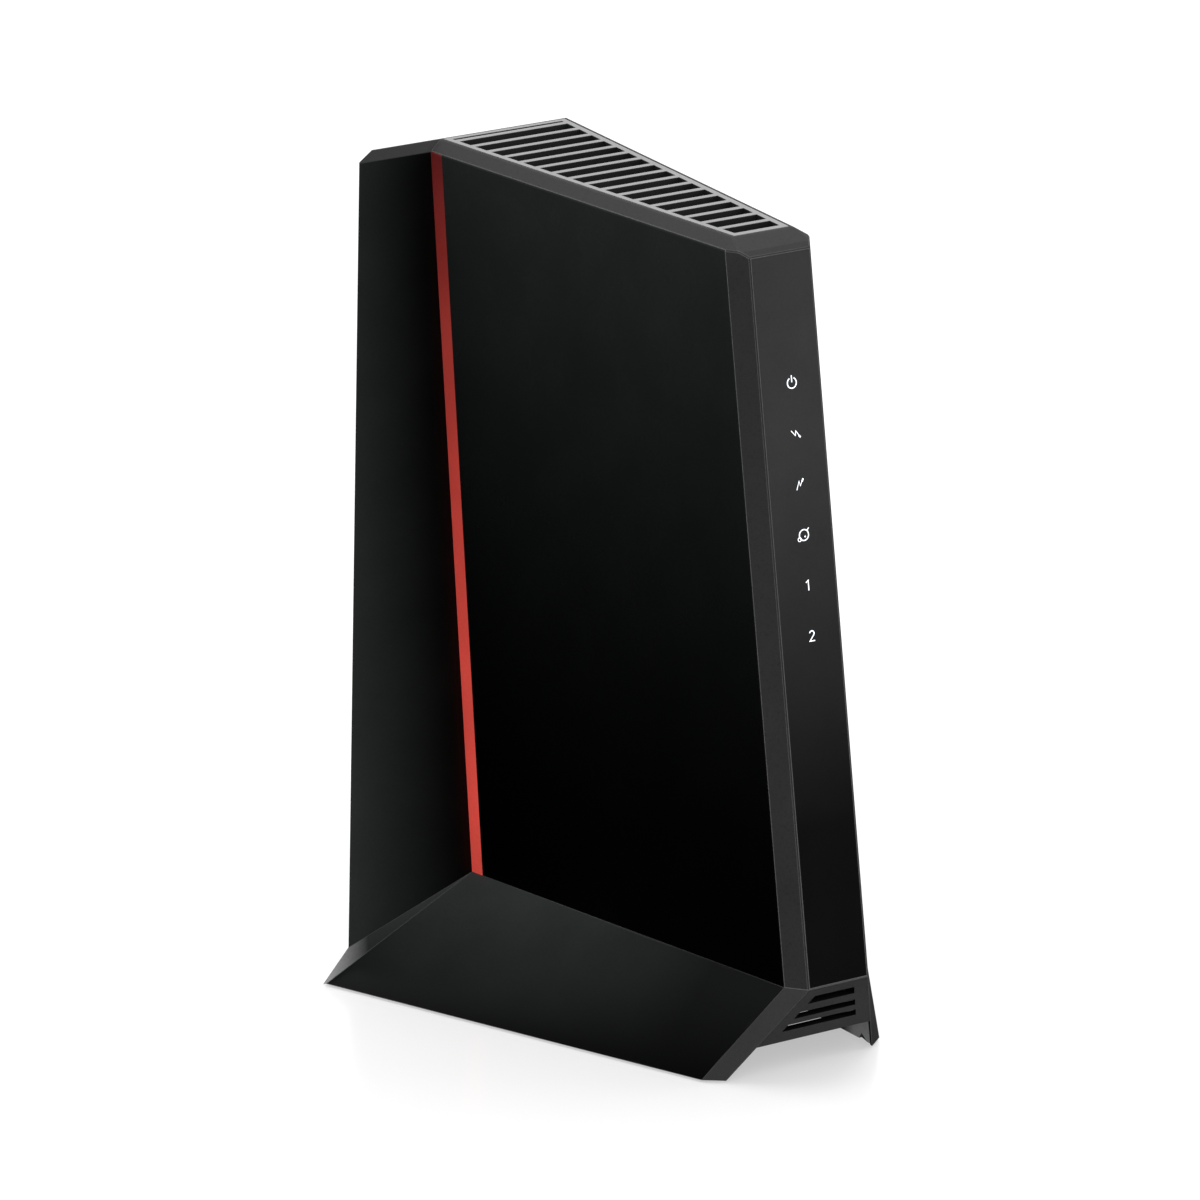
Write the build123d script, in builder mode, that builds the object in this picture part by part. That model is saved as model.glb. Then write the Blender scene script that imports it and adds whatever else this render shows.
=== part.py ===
from build123d import *
import math
import os

# A tall desktop cable gateway. Front faces -Y, X runs across, the table top is z = 0.
# A wedge-shaped body leans back over a flared stand and ends in a plate that reaches out on the left
# as a wing. On the right the plate goes on in line with the body's side.
# All sizes are in millimetres.

os.makedirs("parts", exist_ok=True)

# ---------------------------------------------------------------- driving dimensions
HEIGHT = 237.0
BODY_TOP = 234.3  # where the bevel of the top rim starts
RIM_BEVEL = 4.3  # how far the top rim's bevel runs inwards
REAR_Y = 52.0  # the rear face is upright
REAR_TOP_Y = 50.0  # rear end of the level top

FRONT_Y = -125.2  # the front face's plane meets the table here
FRONT_LEAN = 0.1532  # it leans back by this much per mm of height
FASCIA_HALF = 10.0  # half width of the narrow front face
STRIP_DEPTH = 6.1  # depth of the bevelled strip on each side of the front face

WING_Y = 24.4  # the wing's front plane meets the table here
WING_LEAN = 0.103
TUCK = 1.1  # behind that plane the wing and the stand narrow by this much per mm of depth

SIDE_HALF = 21.33  # half width of the body at y = 0 under the rim
SIDE_TAPER = 0.088  # growth of the half width per mm towards the rear
SIDE_DRAFT = 0.0139  # growth of the half width per mm down from the rim

CREASE_Z = 25.26  # height of the crease between body and stand at y = 0
CREASE_FALL = 0.0435  # the crease falls by this much per mm towards the rear

FASCIA_TOP_Z = 233.0
RIM_FRONT_Y = -81.4  # the level top starts here

WALL = 2.4
FRONT_WALL = 4.4
FASCIA_THICK = 2.0
FASCIA_LIP = 0.4
ACCENT_WIDTH = 5.0
ACCENT_DEEP = 1.2
EDGE_BREAK = 0.35

WING_TOP_HALF = 45.8
WING_SHOULDER = (49.4, 234.6)
WING_FOOT = (69.6, 9.9)
WING_ROOT = (26.6, 24.1)
STAND_TIP = 79.6
STAND_TOE_INNER = (25.3, -101.3)
STAND_TOE_OUTER = (30.6, -97.2)
SOLE_Z = 0.8  # underside of the stand; the rubber feet reach z = 0
SKIN = 2.2

GRILLE_SLOTS = 17
GRILLE_PITCH = 7.37
GRILLE_SLAT = 2.0
GRILLE_FRONT_BAR = 2.6
GRILLE_SIDE_BAR = 2.2
GRILLE_GAP = 0.4  # seam between the grille and the rim
GRILLE_LAST_SLOT = 1.3  # the slot behind the last slat is a narrow one

BOARD_X = -8.4  # left face of the upright main board
BOARD_THICK = 1.6
BOARD_FACE = BOARD_X + BOARD_THICK
BOARD_REAR_Y = 45.0
BOARD_LOW_Z = 33.0
BOARD_HIGH_Z = 212.0
BOARD_SETBACK = 15.0  # from the front plane to the board's front edge

LED_TOP_Z = 197.3
LED_PITCH = 13.95
LED_COUNT = 6

PANEL_HALF = 20.0
PANEL_LOW_Z = 36.0
PANEL_HIGH_Z = 200.0
PANEL_OUT_Y = 51.4  # outer face of the port plate, a little inside the rear face

RESET_Z = 184.0
LAN_Z = (160.0, 138.0)
COAX_Z = 94.0
POWER_Z = 72.0
DC_Z = 50.0


def front_y(z):
    return FRONT_Y + FRONT_LEAN * z


def wing_y(z):
    return WING_Y + WING_LEAN * z


def side_x(y, z):
    return SIDE_HALF + SIDE_TAPER * y + SIDE_DRAFT * (BODY_TOP - z)


def crease_point(foot_y, lean):
    """Height and depth where an upright plane with this foot and lean meets the crease."""
    z = (CREASE_Z - CREASE_FALL * foot_y) / (1 + CREASE_FALL * lean)
    return foot_y + lean * z, z


def body_plan(z, rear):
    """Half hexagon seen from above at height z, counter-clockwise, ending at depth rear."""
    nose = front_y(z)
    strip = nose + STRIP_DEPTH
    right = [(FASCIA_HALF, nose), (side_x(strip, z), strip), (side_x(rear, z), rear)]
    left = [(-x, y) for x, y in reversed(right)]
    return right + left


def inset(points, distances):
    """Moves each side of a counter-clockwise outline inwards by its own distance."""
    sides = []
    for (x0, y0), (x1, y1), gap in zip(points, points[1:] + points[:1], distances):
        length = math.hypot(x1 - x0, y1 - y0)
        nx = (y0 - y1) / length
        ny = (x1 - x0) / length
        sides.append((nx, ny, nx * x0 + ny * y0 + gap))
    corners = []
    for (a, b, c), (d, e, f) in zip(sides[-1:] + sides[:-1], sides):
        det = a * e - b * d
        corners.append(((c * e - b * f) / det, (a * f - c * d) / det))
    return corners


def at_left(half):
    """The mirror image of a half outline, for the side of the wing."""
    return [(-x, z) for x, z in half]


crease_plane = Plane(origin=(0, 0, CREASE_Z), x_dir=(1, 0, 0), z_dir=(0, CREASE_FALL, 1))
wing_plane = Plane(origin=(0, WING_Y, 0), x_dir=(1, 0, 0), z_dir=(0, 1, -WING_LEAN))
front_plane = Plane(origin=(0, FRONT_Y, 0), x_dir=(1, 0, 0), z_dir=(0, -1, FRONT_LEAN))
rim_front_plane = Plane(
    origin=(0, RIM_FRONT_Y, HEIGHT),
    x_dir=(1, 0, 0),
    z_dir=(0, FASCIA_TOP_Z - HEIGHT, RIM_FRONT_Y - front_y(FASCIA_TOP_Z)),
)
rim_rear_plane = Plane(
    origin=(0, REAR_TOP_Y, HEIGHT),
    x_dir=(1, 0, 0),
    z_dir=(0, BODY_TOP - HEIGHT, REAR_TOP_Y - wing_y(BODY_TOP)),
)
# the wing's front plane again, seen from the front, with its own upright axis
wing_face = Plane(origin=(0, WING_Y, 0), x_dir=(1, 0, 0), z_dir=(0, -1, WING_LEAN))
CREASE_STRETCH = math.hypot(1, CREASE_FALL)
WING_STRETCH = math.hypot(1, WING_LEAN)

# ---------------------------------------------------------------- solids that shape the shells
LOW_Z = 12.0  # the body's faces are continued this low, then cut at the crease

with BuildPart() as body_outer:
    for level in (LOW_Z, BODY_TOP):
        with BuildSketch(Plane.XY.offset(level)):
            with BuildLine():
                Polyline(*body_plan(level, wing_y(level)), close=True)
            make_face()
    with BuildSketch(Plane.XY.offset(HEIGHT)):
        with BuildLine():
            Polyline(*inset(body_plan(BODY_TOP, REAR_TOP_Y + RIM_BEVEL), [RIM_BEVEL] * 6), close=True)
        make_face()
    loft(ruled=True)
    split(bisect_by=crease_plane, keep=Keep.TOP)
    split(bisect_by=rim_front_plane, keep=Keep.BOTTOM)
    # every outer edge but those at the crease and at the wing is broken a little
    soft_edges = body_outer.edges().filter_by(
        lambda e: e.center().Z > 60 and e.center().Y < wing_y(e.center().Z) - 1
    )
    chamfer(soft_edges, length=EDGE_BREAK)

body_walls = [WALL, WALL, -6, WALL, WALL, FRONT_WALL]
with BuildPart() as body_hollow:
    for level in (LOW_Z, BODY_TOP):
        with BuildSketch(Plane.XY.offset(level)):
            with BuildLine():
                Polyline(*inset(body_plan(level, wing_y(level)), body_walls), close=True)
            make_face()
    loft(ruled=True)

inlay_walls = [ACCENT_DEEP, ACCENT_DEEP, -6, ACCENT_DEEP, ACCENT_DEEP, ACCENT_DEEP]
with BuildPart() as inlay_core:
    for level in (LOW_Z, BODY_TOP):
        with BuildSketch(Plane.XY.offset(level)):
            with BuildLine():
                Polyline(*inset(body_plan(level, wing_y(level)), inlay_walls), close=True)
            make_face()
    loft(ruled=True)


def slab(name_low, name_high, low, high):
    """Outline in depth and height between two leaning lines."""
    return [(name_low(low), low), (name_high(low), low), (name_high(high), high), (name_low(high), high)]


with BuildPart() as panel_zone:
    with BuildSketch(Plane.YZ.offset(-60)):
        with BuildLine():
            Polyline(
                *slab(lambda z: front_y(z) + STRIP_DEPTH, lambda z: wing_y(z) + 8, 5, BODY_TOP), close=True
            )
        make_face()
    extrude(amount=120)

with BuildPart() as accent_zone:
    with BuildSketch(Plane.YZ.offset(-60)):
        with BuildLine():
            Polyline(*slab(lambda z: wing_y(z) - ACCENT_WIDTH, wing_y, 5, BODY_TOP), close=True)
        make_face()
    extrude(amount=120)

# ---------------------------------------------------------------- outer shells
with BuildPart() as accent_groove:
    add(accent_zone.part)
    add(inlay_core.part, mode=Mode.SUBTRACT)

with BuildPart() as side_panel_left:
    add(body_outer.part)
    add(body_hollow.part, mode=Mode.SUBTRACT)
    add(panel_zone.part, mode=Mode.INTERSECT)
    split(bisect_by=Plane.YZ, keep=Keep.BOTTOM)
    add(accent_groove.part, mode=Mode.SUBTRACT)

with BuildPart() as accent_strip_left:
    add(body_outer.part)
    add(inlay_core.part, mode=Mode.SUBTRACT)
    add(accent_zone.part, mode=Mode.INTERSECT)
    split(bisect_by=Plane.YZ, keep=Keep.BOTTOM)

with BuildPart() as side_panel_right:
    mirror(side_panel_left.part, about=Plane.YZ)

with BuildPart() as accent_strip_right:
    mirror(accent_strip_left.part, about=Plane.YZ)

# The fascia lies in a pocket of the front face; places on that face are given along its slope.
FACE_STRETCH = math.hypot(1, FRONT_LEAN)


def on_face(z):
    """Distance up the leaning front face that reaches height z."""
    return z * FACE_STRETCH


nose_y, nose_z = crease_point(FRONT_Y, FRONT_LEAN)
fascia_low = on_face(nose_z) + FASCIA_LIP
fascia_high = on_face(FASCIA_TOP_Z) - FASCIA_LIP
fascia_mid = (fascia_low + fascia_high) / 2
fascia_long = fascia_high - fascia_low
fascia_wide = 2 * (FASCIA_HALF - FASCIA_LIP)
window_mid = on_face(LED_TOP_Z - LED_PITCH * (LED_COUNT - 1) / 2)
window_long = LED_PITCH * (LED_COUNT - 1) + 9


def rim_half(y):
    """Half width of the level top at depth y."""
    return side_x(y, BODY_TOP) - RIM_BEVEL / math.cos(math.atan(SIDE_TAPER))


RIM_LAND = 0.5
grille_front = RIM_FRONT_Y + RIM_LAND
GRILLE_DEEP = 7.0
GRILLE_STOP = 47.6  # the deep part of the grille ends in front of the rear shell


def grille_plan(margin, rear):
    """Four-cornered outline of the grille up to depth rear, grown outwards by margin."""
    low = grille_front - margin
    wide_low = rim_half(low) - RIM_LAND + margin
    wide_high = rim_half(rear) - RIM_LAND + margin
    return [(-wide_low, low), (wide_low, low), (wide_high, rear), (-wide_high, rear)]


with BuildPart() as main_frame:
    add(body_outer.part)
    add(body_hollow.part, mode=Mode.SUBTRACT)
    add(panel_zone.part, mode=Mode.SUBTRACT)
    with BuildSketch(front_plane):
        with Locations((0, fascia_mid)):
            Rectangle(fascia_wide, fascia_long)
    extrude(amount=-FASCIA_THICK, mode=Mode.SUBTRACT)
    with BuildSketch(front_plane):
        with Locations((0, window_mid)):
            Rectangle(13, window_long)
    extrude(amount=-14, mode=Mode.SUBTRACT)
    with BuildSketch(Plane.XY.offset(BODY_TOP - 1)):
        with BuildLine():
            Polyline(*grille_plan(0, REAR_Y), close=True)
        make_face()
    extrude(amount=6, mode=Mode.SUBTRACT)

with BuildPart() as front_fascia:
    with BuildSketch(front_plane):
        with Locations((0, fascia_mid)):
            Rectangle(fascia_wide - 0.1, fascia_long - 0.1)
    extrude(amount=-FASCIA_THICK)

with BuildPart() as top_grille:
    with BuildSketch(Plane.XY.offset(BODY_TOP)):
        with BuildLine():
            Polyline(*grille_plan(-GRILLE_GAP, REAR_Y), close=True)
        make_face()
    extrude(amount=HEIGHT - BODY_TOP)
    split(bisect_by=rim_rear_plane.offset(0.05), keep=Keep.TOP)
    with BuildSketch(Plane.XY.offset(HEIGHT - GRILLE_DEEP)):
        with BuildLine():
            Polyline(*grille_plan(-GRILLE_GAP, GRILLE_STOP), close=True)
        make_face()
    extrude(amount=GRILLE_DEEP)
    with BuildSketch(Plane.XY.offset(BODY_TOP - 1.5)):
        with BuildLine():
            Polyline(*grille_plan(1.2, GRILLE_STOP), close=True)
        make_face()
    extrude(amount=1.5)
    for slot in range(GRILLE_SLOTS + 1):
        low = grille_front + GRILLE_FRONT_BAR + slot * GRILLE_PITCH
        high = low + (GRILLE_PITCH - GRILLE_SLAT if slot < GRILLE_SLOTS else GRILLE_LAST_SLOT)
        wide_low = rim_half(low) - RIM_LAND - GRILLE_SIDE_BAR
        wide_high = rim_half(high) - RIM_LAND - GRILLE_SIDE_BAR
        with BuildSketch(Plane.XY.offset(HEIGHT - GRILLE_DEEP - 1)):
            with BuildLine():
                Polyline(
                    (-wide_low, low), (wide_low, low), (wide_high, high), (-wide_high, high), close=True
                )
            make_face()
        extrude(amount=GRILLE_DEEP + 2, mode=Mode.SUBTRACT)
    # a thin stiffening rib runs under the slats near each side
    for side in (-1, 1):
        rib_front = grille_front + 1
        rib_rear = GRILLE_STOP - 1
        near = rim_half(rib_front) - 6.5
        far = rim_half(rib_rear) - 6.5
        with BuildSketch(Plane.XY.offset(HEIGHT - GRILLE_DEEP)):
            with BuildLine():
                Polyline(
                    (side * near, rib_front),
                    (side * far, rib_rear),
                    (side * (far + 0.8), rib_rear),
                    (side * (near + 0.8), rib_front),
                    close=True,
                )
            make_face()
        extrude(amount=GRILLE_DEEP - 1.6)

# Rear shell: the plate with the wing. Its outlines are seen from the front, in x and z. The wing
# narrows towards the rear face, and the other side goes on as the body's side does.
wing_outline = [(WING_TOP_HALF, HEIGHT), WING_SHOULDER, WING_FOOT]
SCREW_SPOTS = [(-33, 45), (-33, 110), (-33, 175)]
SCREW_HOLE = 8.2  # depth from the rear face: the wing is thinnest at the top screw, 9.6
SCREW_SHANK = 5.4
OPENING_HALF = 21.6
OPENING_HIGH_Z = 214.0
top_rear_chamfer = Plane(origin=(0, REAR_TOP_Y + 0.5, HEIGHT), x_dir=(1, 0, 0), z_dir=(0, 4, 1.5))


def tucked(half):
    """The points of a half outline on the wing's front plane, carried back to the rear face."""
    return [(x - TUCK * (REAR_Y - wing_y(z)), z) for x, z in half]


def on_wing(outline):
    """An outline in x and z, in the coordinates of the wing's front plane."""
    return [(x, z * WING_STRETCH) for x, z in outline]


def plain_side(y_low, y_high):
    """The right edge of the rear shell, from its foot up, at the depths of its foot and its top."""
    foot_z = WING_ROOT[1]
    return [(side_x(y_low, foot_z), foot_z), (side_x(y_high, BODY_TOP), BODY_TOP), (rim_half(y_high), HEIGHT)]


side_at_wing = plain_side(wing_y(WING_ROOT[1]), wing_y(BODY_TOP))
with BuildPart() as rear_block:
    with BuildSketch(wing_face):
        with BuildLine():
            Polyline(
                *on_wing(at_left(wing_outline + [WING_ROOT]) + side_at_wing),
                close=True,
            )
        make_face()
    with BuildSketch(Plane.XZ.offset(-REAR_Y)):
        with BuildLine():
            Polyline(*at_left(tucked(wing_outline) + [WING_ROOT]), *plain_side(REAR_Y, REAR_Y), close=True)
        make_face()
    loft(ruled=True)
    split(bisect_by=rim_rear_plane, keep=Keep.BOTTOM)
    split(bisect_by=top_rear_chamfer, keep=Keep.BOTTOM)

with BuildPart() as rear_room:
    with BuildSketch(wing_face.offset(-SKIN)):
        with BuildLine():
            Polyline(
                *on_wing([(-42, 205), (-62.5, 16), (-26.6, 27.4), (24.2, 27.4), (23.3, 205)]), close=True
            )
        make_face()
    with BuildSketch(Plane.XZ.offset(-REAR_Y + WALL)):
        with BuildLine():
            Polyline((-42, 205), (-38.2, 16), (-26.6, 27.4), (26, 27.4), (23.5, 205), close=True)
        make_face()
    loft(ruled=True)

with BuildPart() as rear_shell:
    add(rear_block.part)
    add(rear_room.part, mode=Mode.SUBTRACT)
    # bosses for the case screws, cut off at the wing's front plane
    with BuildSketch(Plane.XZ.offset(-REAR_Y)):
        with Locations(*SCREW_SPOTS):
            Circle(3.8)
    extrude(amount=30)
    split(bisect_by=wing_plane, keep=Keep.TOP)
    # way through to the body, and the port plate's opening
    with BuildSketch(Plane.XZ.offset(-REAR_Y + WALL)):
        with Locations((0, (BOARD_LOW_Z + OPENING_HIGH_Z) / 2)):
            Rectangle(2 * OPENING_HALF, OPENING_HIGH_Z - BOARD_LOW_Z)
    extrude(amount=40, mode=Mode.SUBTRACT)
    with BuildSketch(Plane.XZ.offset(-REAR_Y)):
        with Locations((0, (PANEL_LOW_Z + PANEL_HIGH_Z) / 2)):
            Rectangle(2 * PANEL_HALF, PANEL_HIGH_Z - PANEL_LOW_Z)
    extrude(amount=WALL, mode=Mode.SUBTRACT)
    with BuildSketch(Plane.XZ.offset(-REAR_Y)):
        with Locations(*SCREW_SPOTS):
            Circle(1.25)
    extrude(amount=SCREW_HOLE, mode=Mode.SUBTRACT)
    with BuildSketch(Plane.XZ.offset(-REAR_Y)):
        with Locations(*SCREW_SPOTS):
            Circle(3.1)
    extrude(amount=2.4, mode=Mode.SUBTRACT)

# ---------------------------------------------------------------- stand
strip_y, strip_z = crease_point(FRONT_Y + STRIP_DEPTH, FRONT_LEAN)
root_y, root_z = crease_point(WING_Y, WING_LEAN)


def stand_top():
    """The crease outline, in the crease plane's own coordinates."""
    right = [
        (FASCIA_HALF, nose_y),
        (side_x(strip_y, strip_z), strip_y),
        (side_x(root_y, root_z), root_y),
    ]
    points = right + [(-x, y) for x, y in reversed(right)]
    return [(x, y * CREASE_STRETCH) for x, y in points]


def stand_foot():
    """The stand's outline on the table."""
    right = [STAND_TOE_INNER, STAND_TOE_OUTER, (STAND_TIP, WING_Y)]
    return right + [(-x, y) for x, y in reversed(right)]


foot_outline = [(STAND_TIP, 0), WING_FOOT]
REAR_CORNER = (side_x(REAR_Y, WING_ROOT[1]), WING_ROOT[1])

with BuildPart() as stand_rear:
    with BuildSketch(wing_face):
        with BuildLine():
            Polyline(*on_wing(at_left(foot_outline + [WING_ROOT]) + [WING_ROOT, (STAND_TIP, 0)]), close=True)
        make_face()
    with BuildSketch(Plane.XZ.offset(-REAR_Y)):
        with BuildLine():
            Polyline(
                *at_left(tucked(foot_outline) + [WING_ROOT]),
                REAR_CORNER,
                *tucked([(STAND_TIP, 0)]),
                close=True,
            )
        make_face()
    loft(ruled=True)

with BuildPart() as stand_outer:
    with BuildSketch(Plane.XY):
        with BuildLine():
            Polyline(*stand_foot(), close=True)
        make_face()
    with BuildSketch(crease_plane):
        with BuildLine():
            Polyline(*stand_top(), close=True)
        make_face()
    loft(ruled=True)
    add(stand_rear.part)

passage = [(70, -2), (60, 4.5), (34, 16)]
with BuildPart() as stand_rear_room:
    with BuildSketch(wing_face.offset(-SKIN)):
        with BuildLine():
            Polyline(
                *on_wing([(-74.5, -4), (-65, 7.4), (-26.6, 21.8), (25.6, 21.8), (82, -4)]), close=True
            )
        make_face()
    with BuildSketch(Plane.XZ.offset(-REAR_Y + WALL)):
        with BuildLine():
            Polyline((-48, -4), (-38.5, 7.6), (-26.6, 21.8), (27.2, 21.8), (52, -4), close=True)
        make_face()
    loft(ruled=True)
    # a way through the wall between the stand's front and rear rooms
    with BuildSketch(wing_face):
        with BuildLine():
            Polyline(*on_wing(at_left(passage) + passage[::-1]), close=True)
        make_face()
    extrude(amount=4, both=True)

SHIFT_IN = 1.2
stand_walls = [SHIFT_IN, SHIFT_IN, 0, SHIFT_IN, SHIFT_IN, SHIFT_IN]
with BuildPart() as stand_room:
    with BuildSketch(Plane.XY.offset(-SKIN)):
        with BuildLine():
            Polyline(*inset(stand_foot(), stand_walls), close=True)
        make_face()
    with BuildSketch(crease_plane.offset(-SKIN)):
        with BuildLine():
            Polyline(*inset(stand_top(), stand_walls), close=True)
        make_face()
    loft(ruled=True)
    add(stand_rear_room.part)

# The front of the stand is a plane that runs back from the nose to the toes.
toe_x, toe_y = STAND_TOE_INNER
lower_front = Plane(origin=(0, toe_y, 0), x_dir=(1, 0, 0), z_dir=(0, -nose_z, nose_y - toe_y))
LOWER_STRETCH = math.hypot(nose_z, nose_y - toe_y) / nose_z


def vent_half(z):
    """Half width of the lower front face at height z."""
    return toe_x + (FASCIA_HALF - toe_x) * z / nose_z


def vent_outline(low, high, margin):
    """Trapezium on the lower front face between two heights, narrower by margin each side."""
    return [
        (-vent_half(low) + margin, low * LOWER_STRETCH),
        (vent_half(low) - margin, low * LOWER_STRETCH),
        (vent_half(high) - margin, high * LOWER_STRETCH),
        (-vent_half(high) + margin, high * LOWER_STRETCH),
    ]


VENT_LOW_Z = 11.6
VENT_HIGH_Z = nose_z - 0.5
VENT_THICK = 1.6
VENT_SLOTS = [(24.9, 27.5), (20.0, 22.2), (15.7, 18.0)]
VENT_MARGIN = 4.9
RIB_THICK = 2.0
RIB_X = toe_x + RIB_THICK / 2
DECK_SLOTS = 9
SOLE_THICK = 2.0
FOOT_RADIUS = 5.5
FOOT_DEEP = 1.2
FOOT_SPOTS = [(-34.5, -58), (34.5, -58), (-52, 34), (52, 34)]

# upright ribs beside the tunnel under the device
with BuildPart() as stand_ribs:
    with Locations((-RIB_X, 0, 0), (RIB_X, 0, 0)):
        Box(RIB_THICK, 400, 200)
    add(stand_outer.part, mode=Mode.INTERSECT)

with BuildPart() as base_stand:
    add(stand_outer.part)
    add(stand_room.part, mode=Mode.SUBTRACT)
    add(stand_ribs.part)
    # the front between the two toes is open; the vent panel fills its upper part
    with BuildSketch(lower_front):
        with BuildLine():
            Polyline(*vent_outline(-3, VENT_HIGH_Z, 0.3), close=True)
        make_face()
    extrude(amount=-6, both=True, mode=Mode.SUBTRACT)
    # air slots through the deck
    for slot in range(DECK_SLOTS):
        with BuildSketch(Plane.XY.offset(15)):
            with Locations((0, -78 + slot * 11)):
                SlotOverall(18, 4)
        extrude(amount=20, mode=Mode.SUBTRACT)
    split(bisect_by=Plane.XY.offset(SOLE_Z), keep=Keep.TOP)

with BuildPart() as front_vent_panel:
    with BuildSketch(lower_front):
        with BuildLine():
            Polyline(*vent_outline(VENT_LOW_Z, VENT_HIGH_Z - 0.1, 0.4), close=True)
        make_face()
        for slot_low, slot_high in VENT_SLOTS:
            with BuildLine():
                Polyline(*vent_outline(slot_low, slot_high, VENT_MARGIN), close=True)
            make_face(mode=Mode.SUBTRACT)
    extrude(amount=-VENT_THICK)
    split(bisect_by=crease_plane.offset(-0.1), keep=Keep.BOTTOM)

sole_plates = {}
for side_name, side in (("left", -1), ("right", 1)):
    with BuildPart() as sole_plate:
        with Locations((side * (RIB_X + RIB_THICK / 2 + 50), 0, SOLE_Z + SOLE_THICK / 2)):
            Box(100, 400, SOLE_THICK)
        add(stand_room.part, mode=Mode.INTERSECT)
        with BuildSketch(Plane.XY.offset(SOLE_Z)):
            with Locations(*FOOT_SPOTS):
                Circle(FOOT_RADIUS)
        extrude(amount=FOOT_DEEP, mode=Mode.SUBTRACT)
    sole_plates[f"sole_plate_{side_name}"] = sole_plate

with BuildPart() as rubber_feet:
    with BuildSketch(Plane.XY):
        with Locations(*FOOT_SPOTS):
            Circle(FOOT_RADIUS)
    extrude(amount=SOLE_Z + FOOT_DEEP)
    chamfer(rubber_feet.edges().group_by(Axis.Z)[0], length=0.4)

with BuildPart() as rating_label:
    with BuildSketch(Plane.XY.offset(SOLE_Z - 0.2)):
        with Locations((-48, 2)):
            RectangleRounded(24, 30, 2)
    extrude(amount=0.2)

with BuildPart() as case_screws:
    with BuildSketch(Plane.XZ.offset(-REAR_Y + 0.6)):
        with Locations(*SCREW_SPOTS):
            Circle(2.9)
    extrude(amount=1.8)
    with BuildSketch(Plane.XZ.offset(-REAR_Y + 2.4)):
        with Locations(*SCREW_SPOTS):
            Circle(1.25)
    extrude(amount=SCREW_SHANK)
    with BuildSketch(Plane.XZ.offset(-REAR_Y + 0.6)):
        with Locations(*SCREW_SPOTS):
            Rectangle(3.6, 0.8)
            Rectangle(0.8, 3.6)
    extrude(amount=1.1, mode=Mode.SUBTRACT)

# ---------------------------------------------------------------- board and its carrier
def board_front(z):
    return front_y(z) + BOARD_SETBACK


board_screw_spots = [(-80, 42), (-57, 203), (-12, 113), (38, 121), (38, 203), (36, 38.5)]
CARRIER_THICK = 1.8
CARRIER_X = BOARD_X - 2.4 - CARRIER_THICK
SCREW_R = 1.2

with BuildPart() as main_board:
    with BuildSketch(Plane.YZ.offset(BOARD_X)):
        with BuildLine():
            Polyline(
                (board_front(BOARD_LOW_Z), BOARD_LOW_Z),
                (BOARD_REAR_Y, BOARD_LOW_Z),
                (BOARD_REAR_Y, BOARD_HIGH_Z),
                (board_front(BOARD_HIGH_Z), BOARD_HIGH_Z),
                close=True,
            )
        make_face()
        with Locations(*board_screw_spots):
            Circle(1.5, mode=Mode.SUBTRACT)
    extrude(amount=BOARD_THICK)

with BuildPart() as board_carrier:
    with BuildSketch(Plane.YZ.offset(CARRIER_X)):
        with BuildLine():
            Polyline(
                (front_y(20) + 32, 20),
                (24, 20),
                (24, BOARD_LOW_Z + 1),
                (BOARD_REAR_Y - 1, BOARD_LOW_Z + 1),
                (BOARD_REAR_Y - 1, BOARD_HIGH_Z),
                (front_y(BOARD_HIGH_Z) + 32, BOARD_HIGH_Z),
                close=True,
            )
        make_face()
        for window_y, window_z in [(-46, 75), (8, 75), (-40, 160), (10, 160)]:
            with Locations((window_y, window_z)):
                RectangleRounded(38, 56, 4, mode=Mode.SUBTRACT)
    extrude(amount=CARRIER_THICK)
    with BuildSketch(Plane.YZ.offset(CARRIER_X)):
        with Locations(*board_screw_spots):
            Circle(3)
    extrude(amount=BOARD_X - CARRIER_X)
    with BuildSketch(Plane.YZ.offset(CARRIER_X + 0.8)):
        with Locations(*board_screw_spots):
            Circle(SCREW_R)
    extrude(amount=8, mode=Mode.SUBTRACT)
    split(bisect_by=crease_plane, keep=Keep.TOP)

with BuildPart() as board_screws:
    with BuildSketch(Plane.YZ.offset(CARRIER_X + 1)):
        with Locations(*board_screw_spots):
            Circle(SCREW_R)
    extrude(amount=BOARD_FACE - CARRIER_X - 1)
    with BuildSketch(Plane.YZ.offset(BOARD_FACE)):
        with Locations(*board_screw_spots):
            Circle(2.4)
    extrude(amount=1.6)
    with BuildSketch(Plane.YZ.offset(BOARD_FACE + 0.9)):
        with Locations(*board_screw_spots):
            Rectangle(3, 0.7)
            Rectangle(0.7, 3)
    extrude(amount=1, mode=Mode.SUBTRACT)

# ---------------------------------------------------------------- chips, sink and power parts
CHIP_SPOT = (-28, 152)
CHIP_TALL = 2.4
PAD_TALL = 1.0
SINK_BASE = 3.0
SINK_FIN = 11.0
SINK_SIZE = 56.0
SINK_FINS = 12

with BuildPart() as modem_chip:
    with BuildSketch(Plane.YZ.offset(BOARD_FACE)):
        with Locations(CHIP_SPOT):
            Rectangle(31, 31)
    extrude(amount=0.9)
    with BuildSketch(Plane.YZ.offset(BOARD_FACE + 0.9)):
        with Locations(CHIP_SPOT):
            Rectangle(27, 27)
    extrude(amount=CHIP_TALL - 0.9)
    chamfer(modem_chip.edges().group_by(Axis.X)[-1], length=0.4)

with BuildPart() as thermal_pad:
    with BuildSketch(Plane.YZ.offset(BOARD_FACE + CHIP_TALL)):
        with Locations(CHIP_SPOT):
            Rectangle(24, 24)
    extrude(amount=PAD_TALL)

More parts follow.
